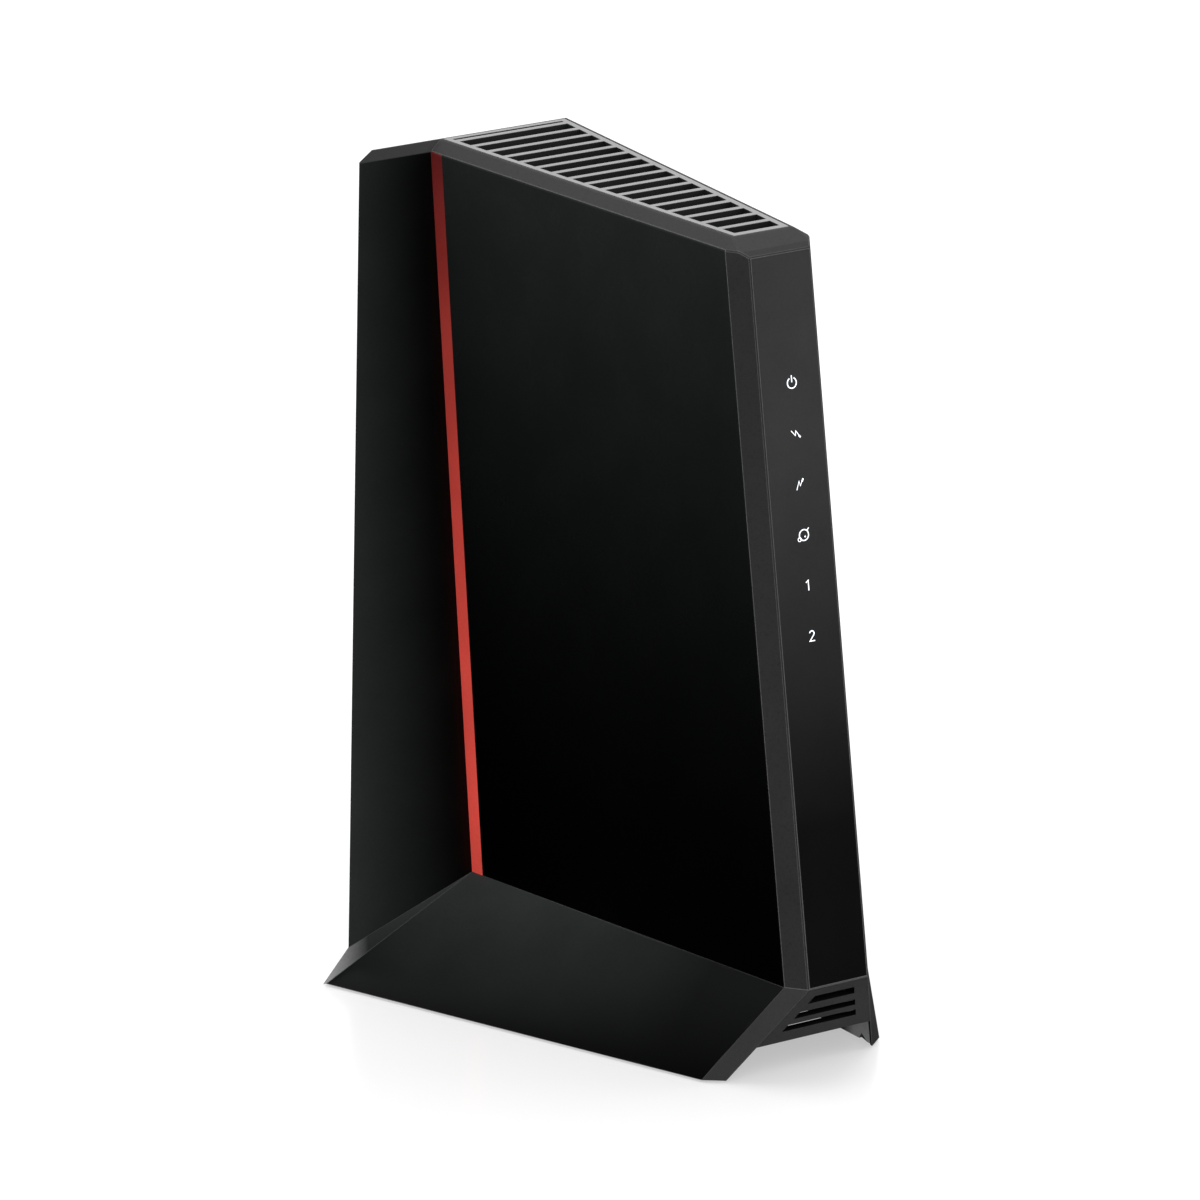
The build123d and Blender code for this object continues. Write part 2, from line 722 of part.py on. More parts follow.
sink_x = BOARD_FACE + CHIP_TALL + PAD_TALL
with BuildPart() as heat_sink:
    with BuildSketch(Plane.YZ.offset(sink_x)):
        with Locations(CHIP_SPOT):
            Rectangle(SINK_SIZE, SINK_SIZE)
    extrude(amount=SINK_BASE)
    with BuildSketch(Plane.YZ.offset(sink_x + SINK_BASE)):
        with Locations(CHIP_SPOT):
            with GridLocations((SINK_SIZE - 1.4) / (SINK_FINS - 1), 1, SINK_FINS, 1):
                Rectangle(1.4, SINK_SIZE)
    extrude(amount=SINK_FIN)

with BuildPart() as switch_chip:
    with BuildSketch(Plane.YZ.offset(BOARD_FACE)):
        with Locations((6, 111)):
            Rectangle(14, 14)
    extrude(amount=1.4)
    chamfer(switch_chip.edges().group_by(Axis.X)[-1], length=0.3)

with BuildPart() as memory_chips:
    with BuildSketch(Plane.YZ.offset(BOARD_FACE)):
        with Locations((-52, 110), (-34, 110)):
            Rectangle(11, 14)
    extrude(amount=1.1)
    chamfer(memory_chips.edges().group_by(Axis.X)[-1], length=0.25)

with BuildPart() as flash_chip:
    with BuildSketch(Plane.YZ.offset(BOARD_FACE)):
        with Locations((-70, 110)):
            Rectangle(8, 6)
    extrude(amount=1.6)
    chamfer(flash_chip.edges().group_by(Axis.X)[-1], length=0.3)

with BuildPart() as lan_transformer:
    with BuildSketch(Plane.YZ.offset(BOARD_FACE)):
        with Locations((14, 149)):
            Rectangle(15, 28)
    extrude(amount=6)
    chamfer(lan_transformer.edges().group_by(Axis.X)[-1], length=0.6)

with BuildPart() as tuner_shield:
    with BuildSketch(Plane.YZ.offset(BOARD_FACE)):
        with Locations((-2, 82)):
            Rectangle(44, 32)
    extrude(amount=7)
    fillet(tuner_shield.edges().filter_by(Axis.X), radius=1)
    offset(amount=-0.5, openings=tuner_shield.faces().sort_by(Axis.X)[0])
    with BuildSketch(Plane.YZ.offset(BOARD_FACE + 5)):
        with Locations((-2, 82)):
            with GridLocations(6, 6, 6, 4):
                Circle(0.9)
    extrude(amount=4, mode=Mode.SUBTRACT)

with BuildPart() as capacitors:
    with BuildSketch(Plane.YZ.offset(BOARD_FACE)):
        with Locations((26, 44), (26, 56), (14, 44), (14, 56)):
            Circle(4)
    extrude(amount=11)
    fillet(capacitors.edges().group_by(Axis.X)[-1], radius=0.6)

with BuildPart() as inductors:
    with BuildSketch(Plane.YZ.offset(BOARD_FACE)):
        with Locations((-4, 50), (-22, 50)):
            RectangleRounded(12, 12, 2)
    extrude(amount=6)
    chamfer(inductors.edges().group_by(Axis.X)[-1], length=0.8)

# ---------------------------------------------------------------- indicator lights
led_heights = [LED_TOP_Z - LED_PITCH * i for i in range(LED_COUNT)]

with BuildPart() as indicator_leds:
    with BuildSketch(Plane.YZ.offset(BOARD_FACE)):
        with Locations(*[(board_front(z) + 1.4, z) for z in led_heights]):
            Rectangle(1.6, 3)
    extrude(amount=1.2)

GUIDE_BACK = 14.3  # from the front plane to the light guide's rear end
with BuildPart() as light_guide:
    with BuildSketch(front_plane.offset(-FASCIA_THICK - 0.1)):
        with Locations(*[(-1.3, on_face(z)) for z in led_heights]):
            Rectangle(10, 5.5)
    extrude(amount=-(GUIDE_BACK - FASCIA_THICK - 0.1))
    with BuildSketch(front_plane.offset(-GUIDE_BACK + 3)):
        with Locations((-5.5, window_mid)):
            Rectangle(1.6, window_long - 4)
    extrude(amount=-3)

# ---------------------------------------------------------------- sockets and switches
JACK_WIDE = 16.0
JACK_HALF_X = 6.8
JACK_LONG = 21.0
SHEET = 0.4
CAVITY_WIDE = 11.9
CAVITY_LOW_X = -3.9
CAVITY_HIGH_X = 3.1
CAVITY_DEEP = 14.0
CONTACTS = 8
CONTACT_PITCH = 1.02
jack_plane = Plane.XZ.offset(-PANEL_OUT_Y)

sockets = {}
for number, jack_z in enumerate(LAN_Z, start=1):
    with BuildPart() as lan_shield:
        with BuildSketch(jack_plane):
            with Locations((0, jack_z)):
                Rectangle(2 * JACK_HALF_X, JACK_WIDE)
        extrude(amount=JACK_LONG)
        with BuildSketch(jack_plane):
            with Locations((0, jack_z)):
                Rectangle(2 * (JACK_HALF_X - SHEET), JACK_WIDE - 2 * SHEET)
        extrude(amount=JACK_LONG - SHEET, mode=Mode.SUBTRACT)
    sockets[f"lan_{number}_shield"] = lan_shield

    with BuildPart() as lan_insert:
        with BuildSketch(jack_plane.offset(0.3)):
            with Locations((0, jack_z)):
                Rectangle(2 * (JACK_HALF_X - SHEET), JACK_WIDE - 2 * SHEET)
        extrude(amount=JACK_LONG - SHEET - 0.3)
        with BuildSketch(jack_plane):
            with Locations(((CAVITY_LOW_X + CAVITY_HIGH_X) / 2, jack_z)):
                Rectangle(CAVITY_HIGH_X - CAVITY_LOW_X, CAVITY_WIDE)
            with Locations((CAVITY_HIGH_X + 0.8, jack_z)):
                Rectangle(1.6, 6.4)
            with Locations((CAVITY_HIGH_X + 2.1, jack_z)):
                Rectangle(1.2, 3.4)
        extrude(amount=CAVITY_DEEP, mode=Mode.SUBTRACT)
        with BuildSketch(jack_plane):
            with Locations((-5.3, jack_z - 5.6), (-5.3, jack_z + 5.6)):
                Rectangle(1.5, 2.6)
        extrude(amount=6, mode=Mode.SUBTRACT)
    sockets[f"lan_{number}_insert"] = lan_insert

    with BuildPart() as lan_lights:
        with BuildSketch(jack_plane.offset(0.3)):
            with Locations((-5.3, jack_z - 5.6), (-5.3, jack_z + 5.6)):
                Rectangle(1.5, 2.6)
        extrude(amount=5.7)
    sockets[f"lan_{number}_lights"] = lan_lights

    with BuildPart() as lan_contacts:
        root = PANEL_OUT_Y - CAVITY_DEEP + 1
        for i in range(CONTACTS):
            contact_z = jack_z + (i - (CONTACTS - 1) / 2) * CONTACT_PITCH
            with BuildSketch(Plane.XY.offset(contact_z - 0.22)):
                with BuildLine():
                    Polyline(
                        (CAVITY_LOW_X, root),
                        (CAVITY_LOW_X + 1.9, root + 8.2),
                        (CAVITY_LOW_X + 1.6, root + 8.6),
                        (CAVITY_LOW_X, root + 1.6),
                        close=True,
                    )
                make_face()
            extrude(amount=0.44)
    sockets[f"lan_{number}_contacts"] = lan_contacts

COAX_R = 4.72
COAX_BORE = 2.9
COAX_END_Y = 63.0
COAX_ROOT_Y = 27.0
NUT_THICK = 2.0
with BuildPart() as coax_connector:
    with BuildSketch(Plane.XZ.offset(-COAX_ROOT_Y)):
        with Locations((0, COAX_Z)):
            RectangleRounded(2 * JACK_HALF_X, 13, 1)
    extrude(amount=-8)
    with BuildSketch(Plane.XZ.offset(-COAX_ROOT_Y)):
        with Locations((0, COAX_Z)):
            Circle(COAX_R)
    extrude(amount=-(COAX_END_Y - COAX_ROOT_Y))
    chamfer(coax_connector.edges().filter_by(GeomType.CIRCLE).sort_by(Axis.Y)[-1], length=0.5)
    # relief groove between the nut and the free end of the thread
    with BuildSketch(Plane.XZ.offset(-PANEL_OUT_Y - NUT_THICK)):
        with Locations((0, COAX_Z)):
            Circle(COAX_R + 1)
            Circle(COAX_R - 0.4, mode=Mode.SUBTRACT)
    extrude(amount=-0.8, mode=Mode.SUBTRACT)
    with BuildSketch(Plane.XZ.offset(-COAX_END_Y)):
        with Locations((0, COAX_Z)):
            Circle(COAX_BORE)
    extrude(amount=15, mode=Mode.SUBTRACT)

with BuildPart() as coax_insulator:
    with BuildSketch(Plane.XZ.offset(-COAX_END_Y + 0.5)):
        with Locations((0, COAX_Z)):
            Circle(COAX_BORE)
    extrude(amount=14.5)
    with BuildSketch(Plane.XZ.offset(-COAX_END_Y + 0.5)):
        with Locations((0, COAX_Z)):
            Circle(0.6)
    extrude(amount=11, mode=Mode.SUBTRACT)

with BuildPart() as coax_nut:
    with BuildSketch(Plane.XZ.offset(-PANEL_OUT_Y)):
        with Locations((0, COAX_Z)):
            RegularPolygon(radius=5.5, side_count=6, major_radius=False)
            Circle(COAX_R, mode=Mode.SUBTRACT)
    extrude(amount=-NUT_THICK)

DC_X = -1.3
DC_BORE = 3.15
with BuildPart() as dc_jack:
    with BuildSketch(Plane.XZ.offset(-37.4)):
        with Locations((DC_X, DC_Z)):
            Rectangle(11, 9)
    extrude(amount=-10.4)
    with BuildSketch(Plane.XZ.offset(-37.4)):
        with Locations((DC_X, DC_Z)):
            Circle(3.9)
    extrude(amount=-(PANEL_OUT_Y - 37.4))
    with BuildSketch(Plane.XZ.offset(-PANEL_OUT_Y)):
        with Locations((DC_X, DC_Z)):
            Circle(DC_BORE)
    extrude(amount=10, mode=Mode.SUBTRACT)

with BuildPart() as dc_pin:
    with BuildSketch(Plane.XZ.offset(-PANEL_OUT_Y + 10)):
        with Locations((DC_X, DC_Z)):
            Circle(1.0)
    extrude(amount=-9.2)
    fillet(dc_pin.edges().sort_by(Axis.Y)[-1], radius=0.4)

POWER_X = -2.6
SWITCH_FRONT_Y = 30.0
SWITCH_BACK_Y = 42.6
with BuildPart() as power_switch:
    with BuildSketch(Plane.XZ.offset(-SWITCH_FRONT_Y)):
        with Locations((POWER_X, POWER_Z)):
            Rectangle(8.4, 8.4)
    extrude(amount=-(SWITCH_BACK_Y - SWITCH_FRONT_Y))
    with BuildSketch(Plane.XZ.offset(-SWITCH_BACK_Y)):
        with Locations((POWER_X, POWER_Z)):
            Rectangle(4, 4)
    extrude(amount=7.4, mode=Mode.SUBTRACT)

with BuildPart() as power_button:
    with BuildSketch(Plane.XZ.offset(-38)):
        with Locations((POWER_X, POWER_Z)):
            Rectangle(3.4, 3.4)
    extrude(amount=-8)
    with BuildSketch(Plane.XZ.offset(-45)):
        with Locations((POWER_X, POWER_Z)):
            RectangleRounded(6.4, 6.4, 0.8)
    extrude(amount=-9.2)
    fillet(power_button.faces().sort_by(Axis.Y)[-1].edges(), radius=0.5)

RESET_X = -2.8
with BuildPart() as reset_switch:
    with BuildSketch(Plane.XZ.offset(-37)):
        with Locations((RESET_X, RESET_Z)):
            Rectangle(8, 7)
    extrude(amount=-7)
    with BuildSketch(Plane.XZ.offset(-44)):
        with Locations((RESET_X, RESET_Z)):
            Circle(1.8)
    extrude(amount=5, mode=Mode.SUBTRACT)

with BuildPart() as reset_button:
    with BuildSketch(Plane.XZ.offset(-40)):
        with Locations((RESET_X, RESET_Z)):
            Circle(1.5)
    extrude(amount=-7)
    fillet(reset_button.edges().sort_by(Axis.Y)[-1], radius=0.3)

FLANGE_Y = 47.9
with BuildPart() as rear_panel:
    panel_mid = (PANEL_LOW_Z + PANEL_HIGH_Z) / 2
    panel_tall = PANEL_HIGH_Z - PANEL_LOW_Z
    with BuildSketch(Plane.XZ.offset(-FLANGE_Y)):
        with Locations((0, panel_mid)):
            Rectangle(2 * PANEL_HALF + 2.4, panel_tall + 2.4)
    extrude(amount=-(REAR_Y - WALL - FLANGE_Y))
    with BuildSketch(Plane.XZ.offset(-FLANGE_Y)):
        with Locations((0, panel_mid)):
            Rectangle(2 * PANEL_HALF - 0.2, panel_tall - 0.2)
    extrude(amount=-(PANEL_OUT_Y - FLANGE_Y))
    with BuildSketch(Plane.XZ.offset(-PANEL_OUT_Y)):
        with Locations(*[(0, z) for z in LAN_Z]):
            Rectangle(2 * JACK_HALF_X + 0.3, JACK_WIDE + 0.3)
        with Locations((0, COAX_Z)):
            Circle(COAX_R + 0.15)
        with Locations((DC_X, DC_Z)):
            Circle(4.05)
        with Locations((POWER_X, POWER_Z)):
            RectangleRounded(7, 7, 1)
        with Locations((RESET_X, RESET_Z)):
            Circle(1.1)
    extrude(amount=6, mode=Mode.SUBTRACT)

pieces = {
    "main_frame": main_frame,
    "side_panel_left": side_panel_left,
    "side_panel_right": side_panel_right,
    "accent_strip_left": accent_strip_left,
    "accent_strip_right": accent_strip_right,
    "front_fascia": front_fascia,
    "top_grille": top_grille,
    "rear_shell": rear_shell,
    "base_stand": base_stand,
    "front_vent_panel": front_vent_panel,
    **sole_plates,
    "rubber_feet": rubber_feet,
    "rating_label": rating_label,
    "case_screws": case_screws,
    "rear_panel": rear_panel,
    "main_board": main_board,
    "board_carrier": board_carrier,
    "board_screws": board_screws,
    "modem_chip": modem_chip,
    "thermal_pad": thermal_pad,
    "heat_sink": heat_sink,
    "switch_chip": switch_chip,
    "memory_chips": memory_chips,
    "flash_chip": flash_chip,
    "lan_transformer": lan_transformer,
    "tuner_shield": tuner_shield,
    "capacitors": capacitors,
    "inductors": inductors,
    "indicator_leds": indicator_leds,
    "light_guide": light_guide,
    "coax_connector": coax_connector,
    "coax_insulator": coax_insulator,
    "coax_nut": coax_nut,
    "dc_jack": dc_jack,
    "dc_pin": dc_pin,
    "power_switch": power_switch,
    "power_button": power_button,
    "reset_switch": reset_switch,
    "reset_button": reset_button,
    **sockets,
}
# the origin is on the table, under the middle of the whole device from its nose to the coax socket
ORIGIN_SHIFT = -(nose_y + COAX_END_Y) / 2
for name, piece in pieces.items():
    placed = piece.part.moved(Location((0, ORIGIN_SHIFT, 0)))
    placed.label = name
    export_step(placed, f"parts/{name}.step")
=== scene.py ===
"""Looks for an upright desktop cable gateway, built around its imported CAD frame.

Metres throughout, in the frame's own axes: the front faces -Y, X runs across and the table is z = 0.
Each sub-assembly is a class that makes its own meshes and dresses its own CAD nodes.
"""

import logging
import math
from dataclasses import dataclass, field
from enum import Enum

import bpy
import numpy as np
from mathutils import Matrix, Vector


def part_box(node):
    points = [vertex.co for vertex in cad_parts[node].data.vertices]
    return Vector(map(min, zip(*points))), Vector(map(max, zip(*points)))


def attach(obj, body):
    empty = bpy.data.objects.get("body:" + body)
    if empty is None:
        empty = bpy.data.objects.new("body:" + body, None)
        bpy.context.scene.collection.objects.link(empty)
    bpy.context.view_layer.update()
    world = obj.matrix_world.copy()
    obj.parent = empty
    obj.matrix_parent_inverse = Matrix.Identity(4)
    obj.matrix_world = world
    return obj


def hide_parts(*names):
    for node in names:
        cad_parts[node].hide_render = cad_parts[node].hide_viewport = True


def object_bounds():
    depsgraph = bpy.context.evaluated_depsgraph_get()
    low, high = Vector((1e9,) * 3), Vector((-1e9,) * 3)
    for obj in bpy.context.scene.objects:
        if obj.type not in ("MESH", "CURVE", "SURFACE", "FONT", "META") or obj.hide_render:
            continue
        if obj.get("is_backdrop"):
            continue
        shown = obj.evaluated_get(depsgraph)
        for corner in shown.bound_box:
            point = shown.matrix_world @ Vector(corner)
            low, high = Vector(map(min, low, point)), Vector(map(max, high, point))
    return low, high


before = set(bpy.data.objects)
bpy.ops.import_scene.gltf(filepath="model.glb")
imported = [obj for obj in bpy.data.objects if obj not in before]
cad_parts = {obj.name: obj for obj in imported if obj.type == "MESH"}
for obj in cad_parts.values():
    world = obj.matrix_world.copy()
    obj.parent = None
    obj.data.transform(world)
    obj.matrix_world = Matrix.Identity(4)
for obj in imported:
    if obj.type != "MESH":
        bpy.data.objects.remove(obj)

LOG = logging.getLogger("gateway")
MM = 0.001
SHARP_ANGLE = math.radians(35)

# ---------------------------------------------------------------- the leaning planes of the case
ORIGIN_SHIFT = 28.7635 * MM  # the design's y = 0 lies this far behind the frame's origin
FRONT_FOOT = -125.2 * MM  # the front plane meets the table here, in the design's y
FRONT_LEAN = 0.1532
WING_FOOT = 24.4 * MM
WING_LEAN = 0.103
RIB_FACE = 25.3 * MM  # half the width of the tunnel under the case
SHELL_BODY = "housing"

Solid = tuple[np.ndarray, np.ndarray]  # points and faces
Colour = tuple[float, float, float]


def front_y(height: float) -> float:
    """Depth of the front plane at a height, in the frame."""
    return ORIGIN_SHIFT + FRONT_FOOT + FRONT_LEAN * height


# ---------------------------------------------------------------- meshes from arrays
def mesh_object(name: str, points: np.ndarray, faces: list, smooth: bool = True) -> bpy.types.Object:
    """Makes an object at the origin from points and faces.

    Args:
        name: The object's name.
        points: Vertex places, one row each.
        faces: Vertex numbers, a list for each face, counter-clockwise from outside.
        smooth: Whether the faces are shaded smooth, with sharp edges kept above SHARP_ANGLE.

    Returns:
        The object, linked to the scene.
    """
    mesh = bpy.data.meshes.new(name)
    mesh.from_pydata(points.tolist(), [], faces)
    mesh.validate()
    if smooth:
        mesh.shade_smooth()
        mesh.set_sharp_from_angle(angle=SHARP_ANGLE)
    piece = bpy.data.objects.new(name, mesh)
    bpy.context.scene.collection.objects.link(piece)
    return piece


def grid_faces(rows: int, columns: int, close_rows: bool) -> np.ndarray:
    """Quads that join neighbouring points of a grid whose columns wrap round.

    Args:
        rows: Points along the first parameter.
        columns: Points along the second parameter.
        close_rows: Whether the last row joins the first.

    Returns:
        Vertex numbers, four a row.
    """
    i = np.arange(rows if close_rows else rows - 1)
    j = np.arange(columns)
    a, b = np.meshgrid(i, j, indexing="ij")
    c = (a + 1) % rows
    d = (b + 1) % columns
    quads = np.stack([a * columns + b, a * columns + d, c * columns + d, c * columns + b], axis=-1)
    return quads.reshape(-1, 4)


def fan_caps(points: np.ndarray, columns: int) -> tuple[np.ndarray, np.ndarray]:
    """Closes the first and last ring of a grid with a centre point each.

    Args:
        points: The grid's points, ring after ring.
        columns: Points in one ring.

    Returns:
        The points with the two centres added, and the triangles.
    """
    count = len(points)
    rings = points.reshape(-1, columns, 3)
    centres = np.stack([rings[0].mean(axis=0), rings[-1].mean(axis=0)])
    j = np.arange(columns)
    k = (j + 1) % columns
    last = count - columns
    first_cap = np.stack([k, j, np.full(columns, count)], axis=-1)
    last_cap = np.stack([last + j, last + k, np.full(columns, count + 1)], axis=-1)
    return np.vstack([points, centres]), np.vstack([first_cap, last_cap])


def closed_tube(name: str, rings: np.ndarray) -> bpy.types.Object:
    """A closed solid from rings of points: rings joined by quads, both ends closed by fans.

    Args:
        name: The object's name.
        rings: Places, ring by ring: shape (rings, points in a ring, 3), each counter-clockwise
            when seen against the direction in which the rings follow each other.

    Returns:
        The object.
    """
    count, columns, _ = rings.shape
    points, caps = fan_caps(rings.reshape(-1, 3), columns)
    quads = grid_faces(count, columns, close_rows=False)
    return mesh_object(name, points, quads.tolist() + caps.tolist())


def ribbon_solid(left: np.ndarray, right: np.ndarray, thickness: float, closed: bool) -> Solid:
    """A flat stroke between two lines in a plane, given a thickness.

    The stroke's cross-section is a rectangle whose four corners are the left and right points at
    the bottom and at the top, so the solid is a grid of four columns along the line.

    Args:
        left: Points of the left line, shape (n, 2).
        right: Points of the right line, shape (n, 2).
        thickness: How far the stroke stands up from the plane.
        closed: Whether the stroke is a ring.

    Returns:
        Points (n * 4, 3) and faces.
    """
    n = len(left)
    low = np.zeros((n, 1))
    high = np.full((n, 1), thickness)
    ring = np.stack(
        [np.hstack([left, low]), np.hstack([left, high]), np.hstack([right, high]), np.hstack([right, low])],
        axis=1,
    )
    quads = grid_faces(n, 4, close_rows=closed)
    if not closed:
        last = (n - 1) * 4
        ends = np.array([[3, 2, 1, 0], [last, last + 1, last + 2, last + 3]])
        quads = np.vstack([quads, ends])
    return ring.reshape(-1, 3), quads


def line_stroke(path: np.ndarray, width: float, thickness: float, closed: bool = False) -> Solid:
    """A stroke of even width along a path in a plane, with mitred corners.

    At each point the offset runs along the mean of the two neighbouring normals, lengthened by one
    over the cosine of half the turn, so that the width stays even round a corner.

    Args:
        path: Points of the middle line, shape (n, 2).
        width: The stroke's full width.
        thickness: Its height above the plane.
        closed: Whether it is a ring.

    Returns:
        Points and faces of the solid.
    """
    ahead = np.roll(path, -1, axis=0) - path
    behind = path - np.roll(path, 1, axis=0)
    if not closed:
        ahead[-1] = behind[-1]
        behind[0] = ahead[0]
    ahead /= np.linalg.norm(ahead, axis=1, keepdims=True)
    behind /= np.linalg.norm(behind, axis=1, keepdims=True)
    middle = ahead + behind
    middle /= np.linalg.norm(middle, axis=1, keepdims=True)
    normal = np.stack([-middle[:, 1], middle[:, 0]], axis=1)
    stretch = 1 / np.clip((middle * ahead).sum(axis=1, keepdims=True), 0.5, 1)
    reach = normal * stretch * width / 2
    return ribbon_solid(path + reach, path - reach, thickness, closed)


def arc(radius: float, start: float, end: float, count: int) -> np.ndarray:
    """Points on an arc round the origin: (r cos t, r sin t).

    Args:
        radius: The arc's radius.
        start: Its first angle, in degrees.
        end: Its last angle, in degrees.
        count: How many points.

    Returns:
        Points, shape (count, 2).
    """
    t = np.radians(np.linspace(start, end, count))
    return radius * np.stack([np.cos(t), np.sin(t)], axis=1)


def join_solids(parts: list[Solid]) -> Solid:
    """Puts several solids of quads into one pair of arrays.

    Args:
        parts: Points and faces of each solid.

    Returns:
        All points, and all faces with their numbers moved on.
    """
    points = []
    faces = []
    offset = 0
    for some_points, some_faces in parts:
        points.append(some_points)
        faces.append(some_faces + offset)
        offset += len(some_points)
    return np.vstack(points), np.vstack(faces)


# ---------------------------------------------------------------- finishes
COAT_ROUGH = 0.12
BUMP_STRENGTH = 0.6
BRUSH_STRETCH = (1.0, 0.03, 1.0)  # brushed lines run along the depth
EDGE_FULL, EDGE_NONE = 0.93, 0.995  # dot products of the rounded and the flat normal, where the painted edge highlight is full and where it is nil
CROWN_BLEND = 0.1 * MM


class Grain(Enum):
    """The fine relief that a surface has."""

    SPARK = "spark-eroded mould texture"
    SATIN = "nearly smooth moulding"
    BRUSHED = "lines along the depth"
    WEAVE = "glass cloth under lacquer"


class Fade(Enum):
    """The direction in which a finish goes from its foot colour to its head colour."""

    HEIGHT = "Z"
    WIDTH = "X"


@dataclass(frozen=True)
class Finish:
    """A procedural surface finish on Object coordinates.

    The colour runs from foot to head over the fade span, which on the side panels, fascia, red strips,
    wing fronts and stand is painted shade and painted reflection; it is varied by a slow mottle and by the
    grain itself, and the grain drives the bump. Above the crown's height another colour holds.
    Edges may carry a painted highlight, a lighter tone where a rounded edge would catch the
    light. All uniform numbers sit on the shader's sockets.
    """

    name: str
    head: Colour
    foot: Colour | None = None
    rough: float = 0.5
    metal: float = 0.0
    specular: float = 0.5
    coat: float = 0.0
    grain: Grain = Grain.SPARK
    grain_size: float = 0.5 * MM
    relief: float = 0.03 * MM
    speck: float = 0.12
    mottle: float = 0.10
    mottle_size: float = 22 * MM
    rough_spread: float = 0.06
    round_edge: float = 0.0
    # the tone of a painted highlight along the edges, where a rounded edge would catch the light
    edge_highlight: float = 0.0
    glow: float = 0.0
    fade: Fade = Fade.HEIGHT
    fade_from: float = 25 * MM
    fade_to: float = 235 * MM
    fade_power: float = 1.0
    crown: Colour | None = None
    crown_from: float = 0.0

    def material(self) -> bpy.types.Material:
        """Builds the material, or gives the one that is already there."""
        name = f"{self.name}_finish"
        found = bpy.data.materials.get(name)
        if found is not None:
            return found
        made = bpy.data.materials.new(name)
        made.use_nodes = True
        tree = made.node_tree
        tree.nodes.clear()
        self._wire(tree)
        made.diffuse_color = (*self.head, 1.0)
        return made

    def _wire(self, tree: bpy.types.NodeTree) -> None:
        """Wires colour, roughness and bump into a principled shader."""
        add = tree.nodes.new
        link = tree.links.new
        output = add("ShaderNodeOutputMaterial")
        shader = add("ShaderNodeBsdfPrincipled")
        link(shader.outputs["BSDF"], output.inputs["Surface"])
        shader.inputs["Metallic"].default_value = self.metal
        shader.inputs["Specular IOR Level"].default_value = self.specular
        shader.inputs["Coat Weight"].default_value = self.coat
        shader.inputs["Coat Roughness"].default_value = COAT_ROUGH
        place = add("ShaderNodeTexCoord").outputs["Object"]
        grain = self._grain(tree, place)
        mottle = noise(tree, place, 1 / self.mottle_size, 3)
        colour = self._colour(tree, place)
        if self.crown is not None:
            colour = self._crowned(tree, place, colour)
        colour = varied(tree, colour, mottle, self.mottle)
        colour = varied(tree, colour, grain, self.speck)
        # painted highlight along the edges
        if self.edge_highlight > 0:
            colour = self._lit_edges(tree, colour)
        link(colour, shader.inputs["Base Color"])
        rough = ranged(tree, mottle, self.rough - self.rough_spread, self.rough + self.rough_spread)
        link(rough, shader.inputs["Roughness"])
        bump = add("ShaderNodeBump")
        bump.inputs["Strength"].default_value = BUMP_STRENGTH
        bump.inputs["Distance"].default_value = self.relief
        link(grain, bump.inputs["Height"])
        if self.round_edge > 0:
            edge = add("ShaderNodeBevel")
            edge.samples = 4
            edge.inputs["Radius"].default_value = self.round_edge
            link(edge.outputs["Normal"], bump.inputs["Normal"])
        link(bump.outputs["Normal"], shader.inputs["Normal"])
        if self.glow > 0:
            shader.inputs["Emission Color"].default_value = (*self.head, 1.0)
            shader.inputs["Emission Strength"].default_value = self.glow

    def _colour(self, tree: bpy.types.NodeTree, place: bpy.types.NodeSocket) -> bpy.types.NodeSocket:
        """The base colour before any variation: a ramp along the fade, or one colour."""
        if self.foot is None:
            plain = tree.nodes.new("ShaderNodeRGB")
            plain.outputs[0].default_value = (*self.head, 1.0)
            return plain.outputs[0]
        along = axes_of(tree, place)[self.fade.value]
        if self.fade is Fade.WIDTH:
            along = size_of(tree, along)
        share = ranged(tree, along, 0.0, 1.0, self.fade_from, self.fade_to)
        power = tree.nodes.new("ShaderNodeMath")
        power.operation = "POWER"
        power.inputs[1].default_value = self.fade_power
        tree.links.new(share, power.inputs[0])
        return mixed(tree, self.foot, self.head, power.outputs[0])

    def _crowned(
        self, tree: bpy.types.NodeTree, place: bpy.types.NodeSocket, colour: bpy.types.NodeSocket
    ) -> bpy.types.NodeSocket:
        """Another colour above a height: the faces that carry the crown's own finish."""
        height = axes_of(tree, place)["Z"]
        share = ranged(tree, height, 0.0, 1.0, self.crown_from, self.crown_from + CROWN_BLEND)
        return mixed(tree, colour, self.crown, share)

    def _lit_edges(self, tree: bpy.types.NodeTree, colour: bpy.types.NodeSocket) -> bpy.types.NodeSocket:
        """Mixes in the painted edge highlight where a rounded normal leaves the flat one.

        The share is one where the dot product of the two normals is under EDGE_FULL, and nil over
        EDGE_NONE.
        """
        rounded = tree.nodes.new("ShaderNodeBevel")
        rounded.samples = 6
        rounded.inputs["Radius"].default_value = self.round_edge
        flat = tree.nodes.new("ShaderNodeNewGeometry")
        agree = tree.nodes.new("ShaderNodeVectorMath")
        agree.operation = "DOT_PRODUCT"
        tree.links.new(rounded.outputs["Normal"], agree.inputs[0])
        tree.links.new(flat.outputs["True Normal"], agree.inputs[1])
        share = ranged(tree, agree.outputs["Value"], 1.0, 0.0, EDGE_FULL, EDGE_NONE)
        return mixed(tree, colour, (self.edge_highlight,) * 3, share)

